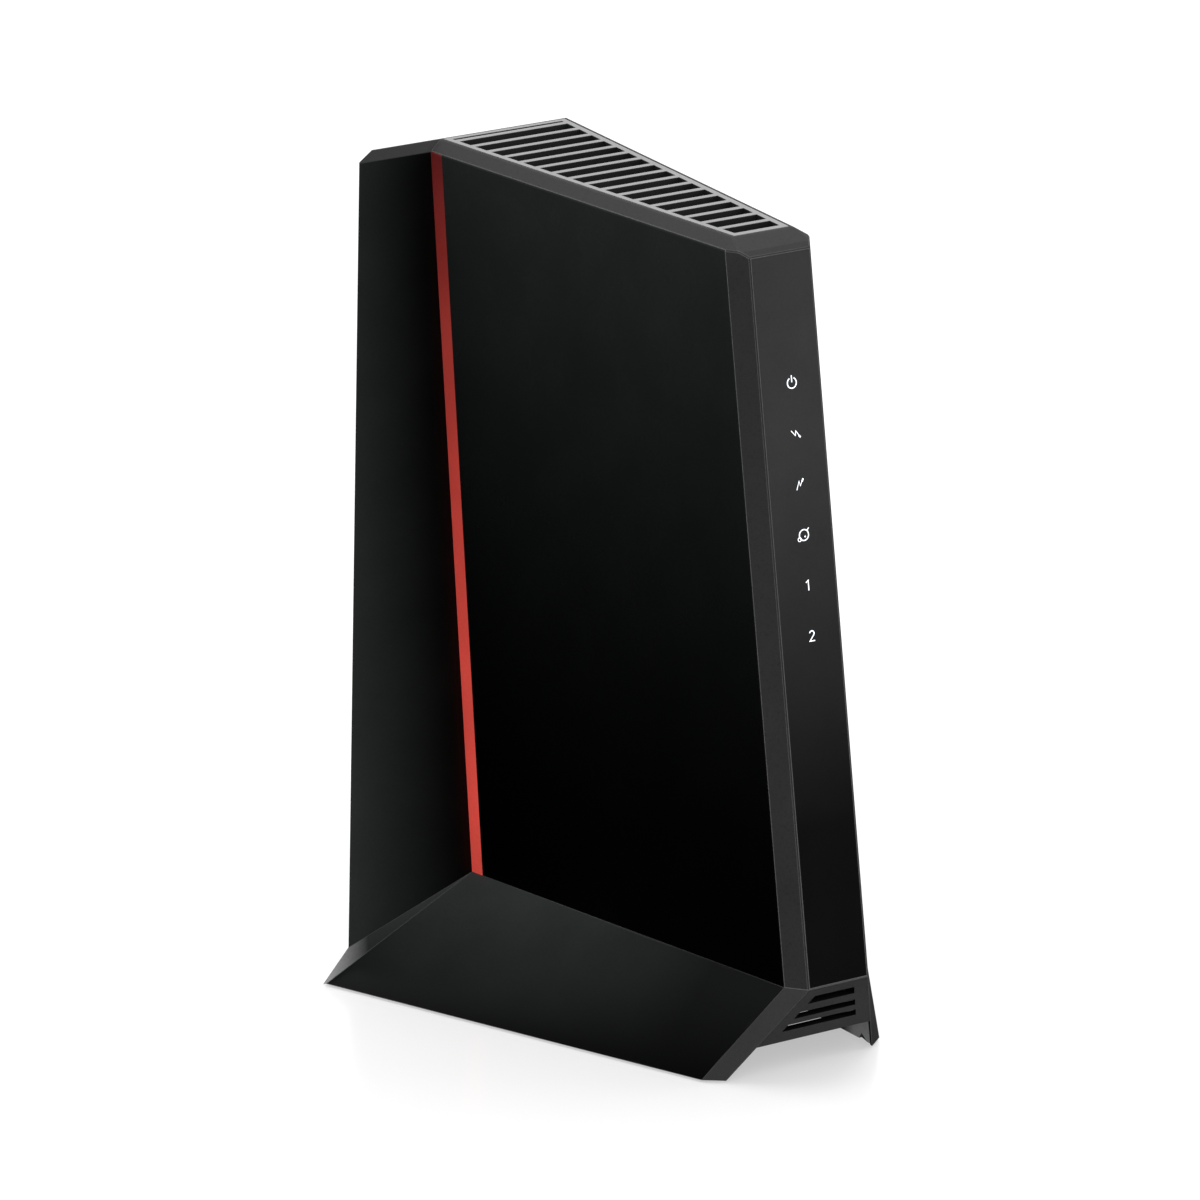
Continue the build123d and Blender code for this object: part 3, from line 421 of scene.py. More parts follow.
    def _grain(self, tree: bpy.types.NodeTree, place: bpy.types.NodeSocket) -> bpy.types.NodeSocket:
        """The fine relief as a height from 0 to 1."""
        if self.grain is Grain.BRUSHED:
            stretch = tree.nodes.new("ShaderNodeMapping")
            stretch.inputs["Scale"].default_value = BRUSH_STRETCH
            tree.links.new(place, stretch.inputs["Vector"])
            return noise(tree, stretch.outputs[0], 1 / self.grain_size, 4)
        if self.grain is Grain.WEAVE:
            wave = tree.nodes.new("ShaderNodeTexChecker")
            wave.inputs["Scale"].default_value = 1 / self.grain_size
            tree.links.new(place, wave.inputs["Vector"])
            return wave.outputs["Fac"]
        if self.grain is Grain.SATIN:
            return noise(tree, place, 1 / self.grain_size, 1)
        cells = tree.nodes.new("ShaderNodeTexVoronoi")
        cells.inputs["Scale"].default_value = 1 / self.grain_size
        tree.links.new(place, cells.inputs["Vector"])
        rubble = noise(tree, place, 0.45 / self.grain_size, 4)
        both = tree.nodes.new("ShaderNodeMath")
        both.operation = "MULTIPLY_ADD"
        both.inputs[1].default_value = 0.5
        tree.links.new(cells.outputs["Distance"], both.inputs[0])
        tree.links.new(rubble, both.inputs[2])
        return both.outputs[0]


def noise(
    tree: bpy.types.NodeTree, place: bpy.types.NodeSocket, scale: float, detail: float
) -> bpy.types.NodeSocket:
    """A noise texture's value.

    Args:
        tree: The material's nodes.
        place: Where the pattern lies.
        scale: Waves per metre.
        detail: Octaves.

    Returns:
        The value socket.
    """
    node = tree.nodes.new("ShaderNodeTexNoise")
    node.inputs["Scale"].default_value = scale
    node.inputs["Detail"].default_value = detail
    tree.links.new(place, node.inputs["Vector"])
    return node.outputs["Fac"]


def ranged(
    tree: bpy.types.NodeTree,
    value: bpy.types.NodeSocket,
    low: float,
    high: float,
    from_low: float = 0.25,
    from_high: float = 0.75,
) -> bpy.types.NodeSocket:
    """Stretches a value from one range to another, and holds it there.

    Args:
        tree: The material's nodes.
        value: The value to stretch.
        low: Result at the lower end.
        high: Result at the upper end.
        from_low: The value's lower end.
        from_high: The value's upper end.

    Returns:
        The stretched value.
    """
    node = tree.nodes.new("ShaderNodeMapRange")
    node.inputs["From Min"].default_value = from_low
    node.inputs["From Max"].default_value = from_high
    node.inputs["To Min"].default_value = low
    node.inputs["To Max"].default_value = high
    tree.links.new(value, node.inputs["Value"])
    return node.outputs["Result"]


def varied(
    tree: bpy.types.NodeTree, colour: bpy.types.NodeSocket, by: bpy.types.NodeSocket, share: float
) -> bpy.types.NodeSocket:
    """Makes a colour lighter and darker by a share, following a value from 0 to 1.

    Args:
        tree: The material's nodes.
        colour: The colour to vary.
        by: The value that varies it.
        share: How far it goes each way, as a share of the colour.

    Returns:
        The varied colour.
    """
    return scaled(tree, colour, ranged(tree, by, 1 - share, 1 + share))


def scaled(
    tree: bpy.types.NodeTree, colour: bpy.types.NodeSocket, factor: bpy.types.NodeSocket
) -> bpy.types.NodeSocket:
    """A colour times a factor.

    Args:
        tree: The material's nodes.
        colour: The colour.
        factor: The factor.

    Returns:
        The scaled colour.
    """
    node = tree.nodes.new("ShaderNodeVectorMath")
    node.operation = "SCALE"
    tree.links.new(colour, node.inputs[0])
    tree.links.new(factor, node.inputs["Scale"])
    return node.outputs["Vector"]


def mixed(
    tree: bpy.types.NodeTree,
    colour: bpy.types.NodeSocket | Colour,
    other: Colour,
    share: bpy.types.NodeSocket,
) -> bpy.types.NodeSocket:
    """Goes from a colour to another by a share.

    Args:
        tree: The material's nodes.
        colour: The colour where the share is nil, as a socket or as numbers.
        other: The colour where it is one.
        share: The share.

    Returns:
        The mixed colour.
    """
    mix = tree.nodes.new("ShaderNodeMix")
    mix.data_type = "RGBA"
    if isinstance(colour, tuple):
        mix.inputs["A"].default_value = (*colour, 1.0)
    else:
        tree.links.new(colour, mix.inputs["A"])
    mix.inputs["B"].default_value = (*other, 1.0)
    tree.links.new(share, mix.inputs["Factor"])
    return mix.outputs["Result"]


def product(
    tree: bpy.types.NodeTree, one: bpy.types.NodeSocket, other: bpy.types.NodeSocket
) -> bpy.types.NodeSocket:
    """Two values multiplied.

    Args:
        tree: The material's nodes.
        one: The first value.
        other: The second value.

    Returns:
        Their product.
    """
    node = tree.nodes.new("ShaderNodeMath")
    node.operation = "MULTIPLY"
    tree.links.new(one, node.inputs[0])
    tree.links.new(other, node.inputs[1])
    return node.outputs[0]


def size_of(tree: bpy.types.NodeTree, value: bpy.types.NodeSocket) -> bpy.types.NodeSocket:
    """A value without its sign."""
    node = tree.nodes.new("ShaderNodeMath")
    node.operation = "ABSOLUTE"
    tree.links.new(value, node.inputs[0])
    return node.outputs[0]


def axes_of(tree: bpy.types.NodeTree, vector: bpy.types.NodeSocket) -> dict[str, bpy.types.NodeSocket]:
    """The three components of a vector.

    Args:
        tree: The material's or world's nodes.
        vector: The vector to take apart.

    Returns:
        The components under the letters of their axes.
    """
    split = tree.nodes.new("ShaderNodeSeparateXYZ")
    tree.links.new(vector, split.inputs[0])
    return {axis: split.outputs[axis] for axis in "XYZ"}


def facing_axes(tree: bpy.types.NodeTree) -> dict[str, bpy.types.NodeSocket]:
    """The components of the object's own face normal."""
    return axes_of(tree, tree.nodes.new("ShaderNodeTexCoord").outputs["Normal"])


def grey(value: float) -> Colour:
    """A neutral colour."""
    return (value, value, value * 1.02)


def tinted(value: float) -> Colour:
    """The faintly green black of the smooth shells."""
    return (value * 0.93, value * 1.05, value * 1.02)


FRAME_GRAIN = Finish("frame_textured", grey(0.0145), grey(0.015), rough=0.55, specular=0.15,
                     grain_size=0.42 * MM, relief=0.05 * MM, speck=0.28, round_edge=0.32 * MM,
                     edge_highlight=0.15, crown=grey(0.0205), crown_from=234.1 * MM)
# painted reflection and shade: the side panels run from a lighter black at the top to nearly black at the
# bottom
PANEL_BLACK = Finish("panel_black", tinted(0.0135), tinted(0.0002), rough=0.26, specular=0.04,
                     grain=Grain.SATIN, grain_size=1.2 * MM, relief=0.004 * MM, speck=0.05,
                     round_edge=0.3 * MM, edge_highlight=0.03, fade_power=2.2)
# painted reflection: the fascia runs from a lighter black at the top to nearly black at the bottom
FASCIA_SATIN = Finish("fascia_black", grey(0.029), grey(0.002), rough=0.30, specular=0.09,
                      grain=Grain.SATIN, grain_size=0.8 * MM, relief=0.004 * MM, speck=0.05, coat=0.02,
                      round_edge=0.2 * MM, edge_highlight=0.03, fade_from=75 * MM, fade_to=175 * MM)
# painted light: the red strips run from dark red at the top to bright red at the bottom
ACCENT_RED = Finish("accent_red", (0.095, 0.009, 0.009), (0.96, 0.10, 0.075), rough=0.38, specular=0.3,
                    grain=Grain.SATIN, grain_size=0.7 * MM, relief=0.006 * MM, speck=0.04, fade_power=1.2)
GRILLE_SILVER = Finish("grille_silver", grey(0.012), rough=0.42, specular=0.3, grain_size=0.35 * MM,
                       relief=0.015 * MM, speck=0.08, mottle=0.05, crown=(0.24, 0.24, 0.245),
                       crown_from=236.85 * MM)
SOLE_BLACK = Finish("sole_black", grey(0.022), rough=0.6, specular=0.3)
FOOT_RUBBER = Finish("foot_rubber", grey(0.03), rough=0.8, specular=0.2, grain_size=0.7 * MM,
                     relief=0.04 * MM)
LABEL_GREY = Finish("label_grey", grey(0.50), rough=0.45, grain=Grain.SATIN, grain_size=0.6 * MM,
                    relief=0.003 * MM, speck=0.03)
SCREW_ZINC = Finish("screw_steel", (0.12, 0.12, 0.13), rough=0.36, metal=1.0, grain=Grain.BRUSHED,
                    grain_size=0.15 * MM, relief=0.006 * MM)
PORT_PLATE = Finish("port_plate", grey(0.035), rough=0.58, specular=0.35, grain_size=0.45 * MM,
                    relief=0.045 * MM, speck=0.22, round_edge=0.2 * MM)
BOARD_GREEN = Finish("board_green", (0.020, 0.115, 0.045), rough=0.38, specular=0.5, grain=Grain.WEAVE,
                     grain_size=0.5 * MM, relief=0.006 * MM, speck=0.10, mottle=0.2, mottle_size=5 * MM)
CARRIER_GREY = Finish("carrier_grey", grey(0.09), rough=0.55)
CHIP_BLACK = Finish("chip_black", grey(0.020), rough=0.5, grain_size=0.25 * MM, relief=0.01 * MM)
PAD_GREY = Finish("pad_grey", (0.32, 0.35, 0.38), rough=0.7, grain_size=0.6 * MM)
SINK_METAL = Finish("sink_aluminium", (0.72, 0.73, 0.75), rough=0.34, metal=1.0, grain=Grain.BRUSHED,
                    grain_size=0.2 * MM, relief=0.008 * MM)
SHIELD_TIN = Finish("shield_tin", (0.60, 0.60, 0.58), rough=0.30, metal=1.0, grain=Grain.BRUSHED,
                    grain_size=0.18 * MM, relief=0.006 * MM)
CAPACITOR = Finish("capacitor_sleeve", (0.03, 0.03, 0.07), rough=0.32, grain=Grain.SATIN, relief=0.004 * MM)
FERRITE = Finish("inductor_ferrite", grey(0.07), rough=0.7, grain_size=0.3 * MM)
LED_RESIN = Finish("led_chip", (0.80, 0.76, 0.50), rough=0.2, grain=Grain.SATIN, relief=0.002 * MM,
                   speck=0.03)
GUIDE_CLEAR = Finish("guide_clear", (0.72, 0.75, 0.76), rough=0.16, grain=Grain.SATIN, relief=0.002 * MM,
                     speck=0.03, coat=0.3)
COAX_NICKEL = Finish("coax_nickel", (0.66, 0.63, 0.57), rough=0.20, metal=1.0, grain=Grain.SATIN,
                     grain_size=0.4 * MM, relief=0.003 * MM, speck=0.05)
INSULATOR = Finish("insulator_white", (0.80, 0.79, 0.74), rough=0.45, grain=Grain.SATIN, relief=0.004 * MM)
CONTACT_GOLD = Finish("contact_gold", (0.83, 0.60, 0.24), rough=0.22, metal=1.0, grain=Grain.SATIN,
                      grain_size=0.2 * MM, relief=0.002 * MM, speck=0.05)
SOCKET_BLACK = Finish("socket_black", grey(0.014), rough=0.42, grain_size=0.4 * MM, relief=0.02 * MM)
BUTTON_GREY = Finish("button_grey", grey(0.075), rough=0.46, grain_size=0.35 * MM, relief=0.02 * MM,
                     round_edge=0.2 * MM)
ICON_WHITE = Finish("icon_white", (0.90, 0.95, 1.0), rough=0.5, grain=Grain.SATIN, relief=0.001 * MM,
                    speck=0.02, glow=0.6)
MARK_GREY = Finish("mark_grey", grey(0.42), rough=0.5, grain=Grain.SATIN, relief=0.002 * MM, speck=0.03)


@dataclass(frozen=True)
class VentFinish(Finish):
    """The vent panel's finish: the frame's grain on its face, and painted shade, black, on the walls inside
    its slots.
    """

    slot_shade: Colour = (0.001, 0.001, 0.001)
    face_to: float = -0.81  # the front face's normal has its y below this
    slot_shade_from: float = -0.77

    def _colour(self, tree: bpy.types.NodeTree, place: bpy.types.NodeSocket) -> bpy.types.NodeSocket:
        """The face's colour where the normal is the face's, black painted shade on every other face."""
        walls = ranged(tree, facing_axes(tree)["Y"], 0.0, 1.0, self.face_to, self.slot_shade_from)
        return mixed(tree, super()._colour(tree, place), self.slot_shade, walls)


# painted shade: black on the walls inside the vent's slots
VENT_GRAIN = VentFinish("vent_textured", grey(0.026), rough=0.55, specular=0.12, grain_size=0.42 * MM,
                        relief=0.05 * MM, speck=0.28, round_edge=0.1 * MM)


@dataclass(frozen=True)
class WingFinish(Finish):
    """The rear shell's finish: the fade on the wing's front is painted shade, darkest by the corner at the
    red strip, and the rest has one tone.
    """

    back: Colour = tinted(0.011)
    front_to: float = -0.4  # the wing's front has a normal with its y below this
    back_from: float = -0.3

    def _colour(self, tree: bpy.types.NodeTree, place: bpy.types.NodeSocket) -> bpy.types.NodeSocket:
        """The fade where the normal points to the front, the back's tone elsewhere."""
        behind = ranged(tree, facing_axes(tree)["Y"], 0.0, 1.0, self.front_to, self.back_from)
        return mixed(tree, super()._colour(tree, place), self.back, behind)


# painted shade: the wing's front darkens towards the inner corner at |x| = 26 mm, by the red strip
WING_BLACK = WingFinish("rear_black", tinted(0.026), tinted(0.0006), rough=0.34, specular=0.10,
                        grain=Grain.SATIN, grain_size=0.9 * MM, relief=0.006 * MM, speck=0.06,
                        round_edge=0.25 * MM, edge_highlight=0.03, fade=Fade.WIDTH, fade_from=26 * MM,
                        fade_to=66 * MM, fade_power=1.4, crown=grey(0.026), crown_from=234.1 * MM)


@dataclass(frozen=True)
class StandFinish(Finish):
    """The stand's finish: satin black skirts over a light grey textured inner moulding.

    The inner moulding shows on the upright plane of the wings, and on the inner faces of the ribs
    beside the tunnel. Both are planes, so the grey is where the distance to one of them is nil.
    On the wing plane the grey fades to dark towards the inside as painted shade, and on the ribs it
    stops short of the tunnel's inside, leaving the skirt's dark colour there as painted shade.
    """

    inner: Colour = (0.38, 0.38, 0.386)
    rib: Colour = (0.25, 0.25, 0.254)
    toe: Colour = (0.033, 0.033, 0.0335)
    toe_back: float = ORIGIN_SHIFT - 70 * MM
    toe_facing: tuple[float, float] = (-0.45, -0.35)  # the normal's y, from toe to skirt
    # the rib's grey holds up to the tunnel's mouth; deeper in, painted shade keeps the rib dark
    mouth: float = ORIGIN_SHIFT - 92 * MM
    mouth_blend: float = 6 * MM
    rib_facing: tuple[float, float] = (0.98, 0.99)  # the size of the normal's x, from skirt to rib
    skirt_front: float = ORIGIN_SHIFT - 85 * MM
    skirt_rear: float = ORIGIN_SHIFT + 30 * MM
    skirt_shade_scale: tuple[float, float] = (0.12, 1.3)  # painted shade: the skirt's tone scale at its front and at its rear
    shade: float = 0.04  # painted shade: the inner moulding's share of its tone at shade_from
    shade_from: float = 63 * MM
    shade_to: float = 76 * MM
    plane_blend: float = 0.1 * MM

    def _colour(self, tree: bpy.types.NodeTree, place: bpy.types.NodeSocket) -> bpy.types.NodeSocket:
        """Black skirts, the frame's grey on the toes' front, the inner grey on its two planes."""
        at = axes_of(tree, place)
        facing = facing_axes(tree)
        # painted shade: the skirt's colour, already darker towards the table, is scaled darker towards the
        # front
        along = ranged(tree, at["Y"], *self.skirt_shade_scale, self.skirt_front, self.skirt_rear)
        skirt = scaled(tree, super()._colour(tree, place), along)
        faces_front = ranged(tree, facing["Y"], 1.0, 0.0, *self.toe_facing)
        in_front = ranged(tree, at["Y"], 1.0, 0.0, self.toe_back, self.toe_back + MM)
        base = mixed(tree, skirt, self.toe, product(tree, faces_front, in_front))
        on_wing = self._near_plane(tree, at, (0.0, 1.0, -WING_LEAN), ORIGIN_SHIFT + WING_FOOT)
        # painted shade: the inner grey holds at the outer end and fades to dark towards the inside
        outer = ranged(tree, size_of(tree, at["X"]), self.shade, 1.0, self.shade_from, self.shade_to)
        base = mixed(tree, base, self.inner, product(tree, on_wing, outer))
        on_rib = self._near_plane(tree, at, (1.0, 0.0, 0.0), RIB_FACE)
        # painted shade: the rib's grey stops towards the rear, leaving the inside of the tunnel dark
        at_mouth = ranged(tree, at["Y"], 1.0, 0.0, self.mouth, self.mouth + self.mouth_blend)
        faces_in = ranged(tree, size_of(tree, facing["X"]), 0.0, 1.0, *self.rib_facing)
        on_rib = product(tree, on_rib, at_mouth)
        return mixed(tree, base, self.rib, product(tree, on_rib, faces_in))

    def _near_plane(
        self,
        tree: bpy.types.NodeTree,
        at: dict[str, bpy.types.NodeSocket],
        normal: tuple[float, float, float],
        distance: float,
    ) -> bpy.types.NodeSocket:
        """One on a plane and nil away from it.

        The signed distance is |x| nx + y ny + z nz less the plane's own distance, and the share
        falls from one to nil between one and two plane blends.

        Args:
            tree: The material's nodes.
            at: The place's x, y and z.
            normal: The plane's normal, for the half where x is positive.
            distance: The plane's distance along its normal.

        Returns:
            The share.
        """
        total = None
        for axis, weight in zip("XYZ", normal):
            side = size_of(tree, at[axis]) if axis == "X" else at[axis]
            node = tree.nodes.new("ShaderNodeMath")
            node.operation = "MULTIPLY_ADD"
            node.inputs[1].default_value = weight
            node.inputs[2].default_value = -distance if total is None else 0.0
            tree.links.new(side, node.inputs[0])
            if total is not None:
                tree.links.new(total, node.inputs[2])
            total = node.outputs[0]
        return ranged(tree, size_of(tree, total), 1.0, 0.0, self.plane_blend, 2 * self.plane_blend)


# painted shade: the skirts darken from the head colour at 26 mm to nearly black at the table
STAND_BLACK = StandFinish("stand_black", tinted(0.034), tinted(0.001), rough=0.36, specular=0.04,
                          grain=Grain.SATIN, grain_size=0.8 * MM, relief=0.006 * MM, speck=0.06,
                          round_edge=0.25 * MM, edge_highlight=0.09, fade_from=0.0, fade_to=26 * MM)


# ---------------------------------------------------------------- sub-assemblies
def dress(node: str, finish: Finish) -> None:
    """Gives a CAD node its finish.

    Args:
        node: The node's name in the frame.
        finish: The finish that takes the place of the plain one.
    """
    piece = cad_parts[node]
    piece.data.materials.clear()
    piece.data.materials.append(finish.material())
    LOG.info("dressed %s in %s", node, finish.name)


def settle(piece: bpy.types.Object, body: str, finish: Finish) -> None:
    """Gives a new piece its finish and the body that it moves with.

    Args:
        piece: The piece.
        body: The record's body that it rides on.
        finish: Its finish.
    """
    piece.data.materials.append(finish.material())
    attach(piece, body)
    LOG.info("made %s: %d faces, rides on %s", piece.name, len(piece.data.polygons), body)


@dataclass
class Casing:
    """The shells, the grille, the stand and what is fixed to them."""

    finishes: dict[str, Finish] = field(
        default_factory=lambda: {
            "main_frame": FRAME_GRAIN,
            "front_vent_panel": VENT_GRAIN,
            "side_panel_left": PANEL_BLACK,
            "side_panel_right": PANEL_BLACK,
            "accent_strip_left": ACCENT_RED,
            "accent_strip_right": ACCENT_RED,
            "rear_shell": WING_BLACK,
            "front_fascia": FASCIA_SATIN,
            "top_grille": GRILLE_SILVER,
            "base_stand": STAND_BLACK,
            "sole_plate_left": SOLE_BLACK,
            "sole_plate_right": SOLE_BLACK,
            "rubber_feet": FOOT_RUBBER,
            "rating_label": LABEL_GREY,
            "case_screws": SCREW_ZINC,
            "rear_panel": PORT_PLATE,
        }
    )

    def dress(self) -> None:
        """Gives every shell its finish."""
        for node, finish in self.finishes.items():
            dress(node, finish)


@dataclass
class Electronics:
    """The board and what is soldered or screwed to it."""

    finishes: dict[str, Finish] = field(
        default_factory=lambda: {
            "main_board": BOARD_GREEN,
            "board_carrier": CARRIER_GREY,
            "board_screws": SCREW_ZINC,
            "modem_chip": CHIP_BLACK,
            "switch_chip": CHIP_BLACK,
            "memory_chips": CHIP_BLACK,
            "flash_chip": CHIP_BLACK,
            "lan_transformer": CHIP_BLACK,
            "thermal_pad": PAD_GREY,
            "heat_sink": SINK_METAL,
            "tuner_shield": SHIELD_TIN,
            "capacitors": CAPACITOR,
            "inductors": FERRITE,
            "indicator_leds": LED_RESIN,
            "light_guide": GUIDE_CLEAR,
            "power_switch": SOCKET_BLACK,
            "reset_switch": SOCKET_BLACK,
            "power_button": BUTTON_GREY,
            "reset_button": BUTTON_GREY,
            "dc_jack": SOCKET_BLACK,
            "dc_pin": CONTACT_GOLD,
            "coax_insulator": INSULATOR,
            "coax_nut": COAX_NICKEL,
        }
    )
    jacks: int = 2

    def dress(self) -> None:
        """Gives every inner part its finish."""
        for node, finish in self.finishes.items():
            dress(node, finish)
        for number in range(1, self.jacks + 1):
            dress(f"lan_{number}_shield", SHIELD_TIN)
            dress(f"lan_{number}_insert", SOCKET_BLACK)
            dress(f"lan_{number}_lights", GUIDE_CLEAR)
            dress(f"lan_{number}_contacts", CONTACT_GOLD)


@dataclass
class CoaxSocket:
    """The threaded cable socket: a square root block and a barrel with a 3/8-32 thread."""

    pitch: float = 25.4 / 32 * MM
    depth: float = 0.42 * MM
    roundness: float = 1.2  # the power that rounds the thread's crest
    nut_wall: float = 0.78 * MM
    groove: float = 0.8 * MM
    run_out: float = 0.8 * MM
    chamfer: float = 0.45 * MM
    bore: float = 2.9 * MM
    bore_deep: float = 6 * MM
    bore_lip: float = 0.15 * MM
    pin_hole: float = 0.4 * MM
    block_long: float = 8 * MM
    block_square: float = 0.22  # the power that squares the block's ring
    block_edge: float = 0.4 * MM
    around: int = 96
    along: int = 200

    def build(self) -> None:
        """Makes the barrel and the block, which stand for the plain CAD connector."""
        low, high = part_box("coax_connector")
        nut_low, nut_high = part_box("coax_nut")
        centre = ((nut_low.x + nut_high.x) / 2, (nut_low.z + nut_high.z) / 2)
        crest = (nut_high.z - nut_low.z) / 2 - self.nut_wall
        barrel = self._barrel(centre, crest, low.y + self.block_long, high.y, nut_high.y)
        settle(barrel, SHELL_BODY, COAX_NICKEL)
        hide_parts("coax_connector")
        block = self._block(centre, (high.x - low.x) / 2, (high.z - low.z) / 2, low.y)
        settle(block, SHELL_BODY, COAX_NICKEL)

    def _barrel(
        self, centre: tuple[float, float], crest: float, root: float, tip: float, nut: float
    ) -> bpy.types.Object:
        """The barrel as one closed surface, outside and bore.

        Outside, the radius is the crest radius less the thread's depth times a rounded triangle
        wave of y / pitch minus the angle in turns, so the crest runs as a helix. The wave fades
        out over the last pitch at the tip and by the groove behind the nut.

        Args:
            centre: The axis in x and z.
            crest: Radius at the thread's crest.
            root: Depth where the barrel leaves the block.
            tip: Depth of its free end.
            nut: Depth of the nut's outer face, where the groove starts.

        Returns:
            The object.
        """
        turn = np.linspace(0, 2 * math.pi, self.around, endpoint=False)
        y = np.linspace(root, tip - self.chamfer, self.along)[:, None]
        phase = (y / self.pitch - turn[None, :] / (2 * math.pi)) % 1.0
        wave = np.abs(2 * phase - 1) ** self.roundness
        threaded = np.clip((tip - self.run_out - y) / self.pitch, 0, 1) * (y > nut + self.groove)
        in_groove = (y > nut) & (y < nut + self.groove)
        radius = crest - self.depth * wave * threaded - self.depth * in_groove
        outer = self._rings(centre, radius, y, turn)
        floor = tip - self.bore_deep
        inside = np.array([
            (crest - self.chamfer, tip),
            (self.bore + self.bore_lip, tip),
            (self.bore, tip - self.bore_lip),
            (self.bore, floor),
            (self.pin_hole, floor),
        ])
        inner = self._rings(centre, inside[:, :1], inside[:, 1:], turn)
        return closed_tube("coax_thread", np.vstack([outer, inner])[:, ::-1])

    @staticmethod
    def _rings(
        centre: tuple[float, float], radius: np.ndarray, y: np.ndarray, turn: np.ndarray
    ) -> np.ndarray:
        """Rings round an axis along y: x = cx + r cos t, z = cz + r sin t.

        Args:
            centre: The axis in x and z.
            radius: Each ring's radius, a column, or a row for each ring where it changes with t.
            y: Each ring's depth, a column.
            turn: The angles t.

        Returns:
            Places, shape (rings, angles, 3).
        """
        x = centre[0] + radius * np.cos(turn)
        z = centre[1] + radius * np.sin(turn)
        return np.stack([x, y + 0 * x, z], axis=-1)

    def _block(
        self, centre: tuple[float, float], half_x: float, half_z: float, y: float
    ) -> bpy.types.Object:
        """The root block: a squared ring, x = a sgn(cos) |cos|^p and the same in z, with broken ends.

        Args:
            centre: The axis in x and z.
            half_x: Half its width.
            half_z: Half its height.
            y: Depth of its inner end.

        Returns:
            The object.
        """
        turn = np.linspace(0, 2 * math.pi, self.around, endpoint=False)
        x = np.sign(np.cos(turn)) * np.abs(np.cos(turn)) ** self.block_square
        z = np.sign(np.sin(turn)) * np.abs(np.sin(turn)) ** self.block_square
        edge = self.block_edge
        step = np.array([[0.0], [edge], [self.block_long - edge], [self.block_long]])
        cut = np.array([[edge], [0.0], [0.0], [edge]])
        across = centre[0] + (half_x - cut) * x
        height = centre[1] + (half_z - cut) * z
        rings = np.stack([across, y + step + 0 * x, height], axis=-1)
        return closed_tube("coax_block", rings[:, ::-1])


class Symbol(Enum):
    """The marks on the light strip, from the top down."""

    POWER = "power"
    DOWNSTREAM = "downstream"
    UPSTREAM = "upstream"
    INTERNET = "internet"
    ONE = "1"
    TWO = "2"


def symbol_solid(symbol: Symbol, size: float, stroke: float, thick: float) -> Solid:
    """A mark as strokes in its own plane, about its own centre.

    Args:
        symbol: Which mark.
        size: Its height.
        stroke: Width of its lines.
        thick: How far it stands up.

    Returns:
        Points and faces.
    """
    r = size / 2
    fine, bold = stroke * 0.7, stroke * 1.5
    if symbol is Symbol.POWER:
        ring = line_stroke(arc(r * 0.84, 118, 422, 44), stroke, thick)
        bar = line_stroke(np.array([[0, r * 0.10], [0, r * 1.2]]), stroke, thick)
        return join_solids([ring, bar])
    if symbol is Symbol.DOWNSTREAM:
        bolt = r * np.array([[-0.85, 0.58], [-0.13, -0.29], [0.0, 0.47], [0.78, -0.64]])
        tip = r * np.array([[0.52, -0.34], [0.82, -0.68]])
        return join_solids([line_stroke(bolt, fine, thick), line_stroke(tip, bold, thick)])
    if symbol is Symbol.UPSTREAM:
        bolt = r * np.array([[-0.65, -0.82], [-0.13, 0.53], [0.06, -0.23], [0.65, 0.82]])
        tip = r * np.array([[0.42, 0.40], [0.68, 0.86]])
        return join_solids([line_stroke(bolt, fine, thick), line_stroke(tip, bold, thick)])
    if symbol is Symbol.INTERNET:
        globe = line_stroke(arc(r * 0.86, 0, 360, 49)[:-1], stroke, thick, closed=True)
        moon_ring = arc(r * 0.31, 0, 360, 25)[:-1] + r * np.array([-0.86, -0.60])
        moon = line_stroke(moon_ring, fine, thick, closed=True)
        spur = line_stroke(r * np.array([[0.58, 0.62], [0.98, 1.04]]), stroke * 0.8, thick)
        star = line_stroke(r * np.array([[0.12, -0.38], [0.28, -0.16]]), stroke * 1.2, thick)
        return join_solids([globe, moon, spur, star])
    if symbol is Symbol.ONE:
        return line_stroke(r * np.array([[-0.34, 0.48], [0.10, 0.80], [0.10, -0.80]]), stroke, thick)
    bow = arc(r * 0.42, 165, -38, 22) + np.array([0, r * 0.38])
    tail = r * np.array([[-0.46, -0.80], [0.50, -0.80]])
    return line_stroke(np.vstack([bow, tail]), stroke, thick)


def placed(
    solid: Solid,
    origin: tuple[float, float, float],
    across: tuple[float, float, float],
    up: tuple[float, float, float],
) -> Solid:
    """Carries a flat solid to its place: p = origin + u across + v up + w (across x up).

    Args:
        solid: Points and faces in the mark's own plane.
        origin: Where its centre goes.
        across: Unit direction of its x.
        up: Unit direction of its y.

    Returns:
        Points in the frame, and the same faces.
    """
    points, faces = solid
    axes = np.array([across, up, np.cross(across, up)])
    return np.array(origin) + points @ axes, faces


@dataclass
class LightStrip:
    """The glowing marks on the leaning fascia."""

    top: float = 197.3 * MM
    pitch: float = 13.95 * MM
    shift: float = 0.4 * MM
    size: float = 3.5 * MM
    stroke: float = 0.31 * MM
    thick: float = 0.06 * MM

    def build(self) -> None:
        """Makes one piece for each mark, on the fascia's face."""
        slope = math.hypot(1, FRONT_LEAN)
        up = (0.0, FRONT_LEAN / slope, 1 / slope)
        for row, symbol in enumerate(Symbol):
            height = self.top - row * self.pitch
            solid = symbol_solid(symbol, self.size, self.stroke, self.thick)
            points, faces = placed(solid, (self.shift, front_y(height), height), (1.0, 0.0, 0.0), up)
            name = f"icon_{symbol.name.lower()}"
            piece = mesh_object(name, points, faces.tolist(), smooth=False)
            settle(piece, SHELL_BODY, ICON_WHITE)


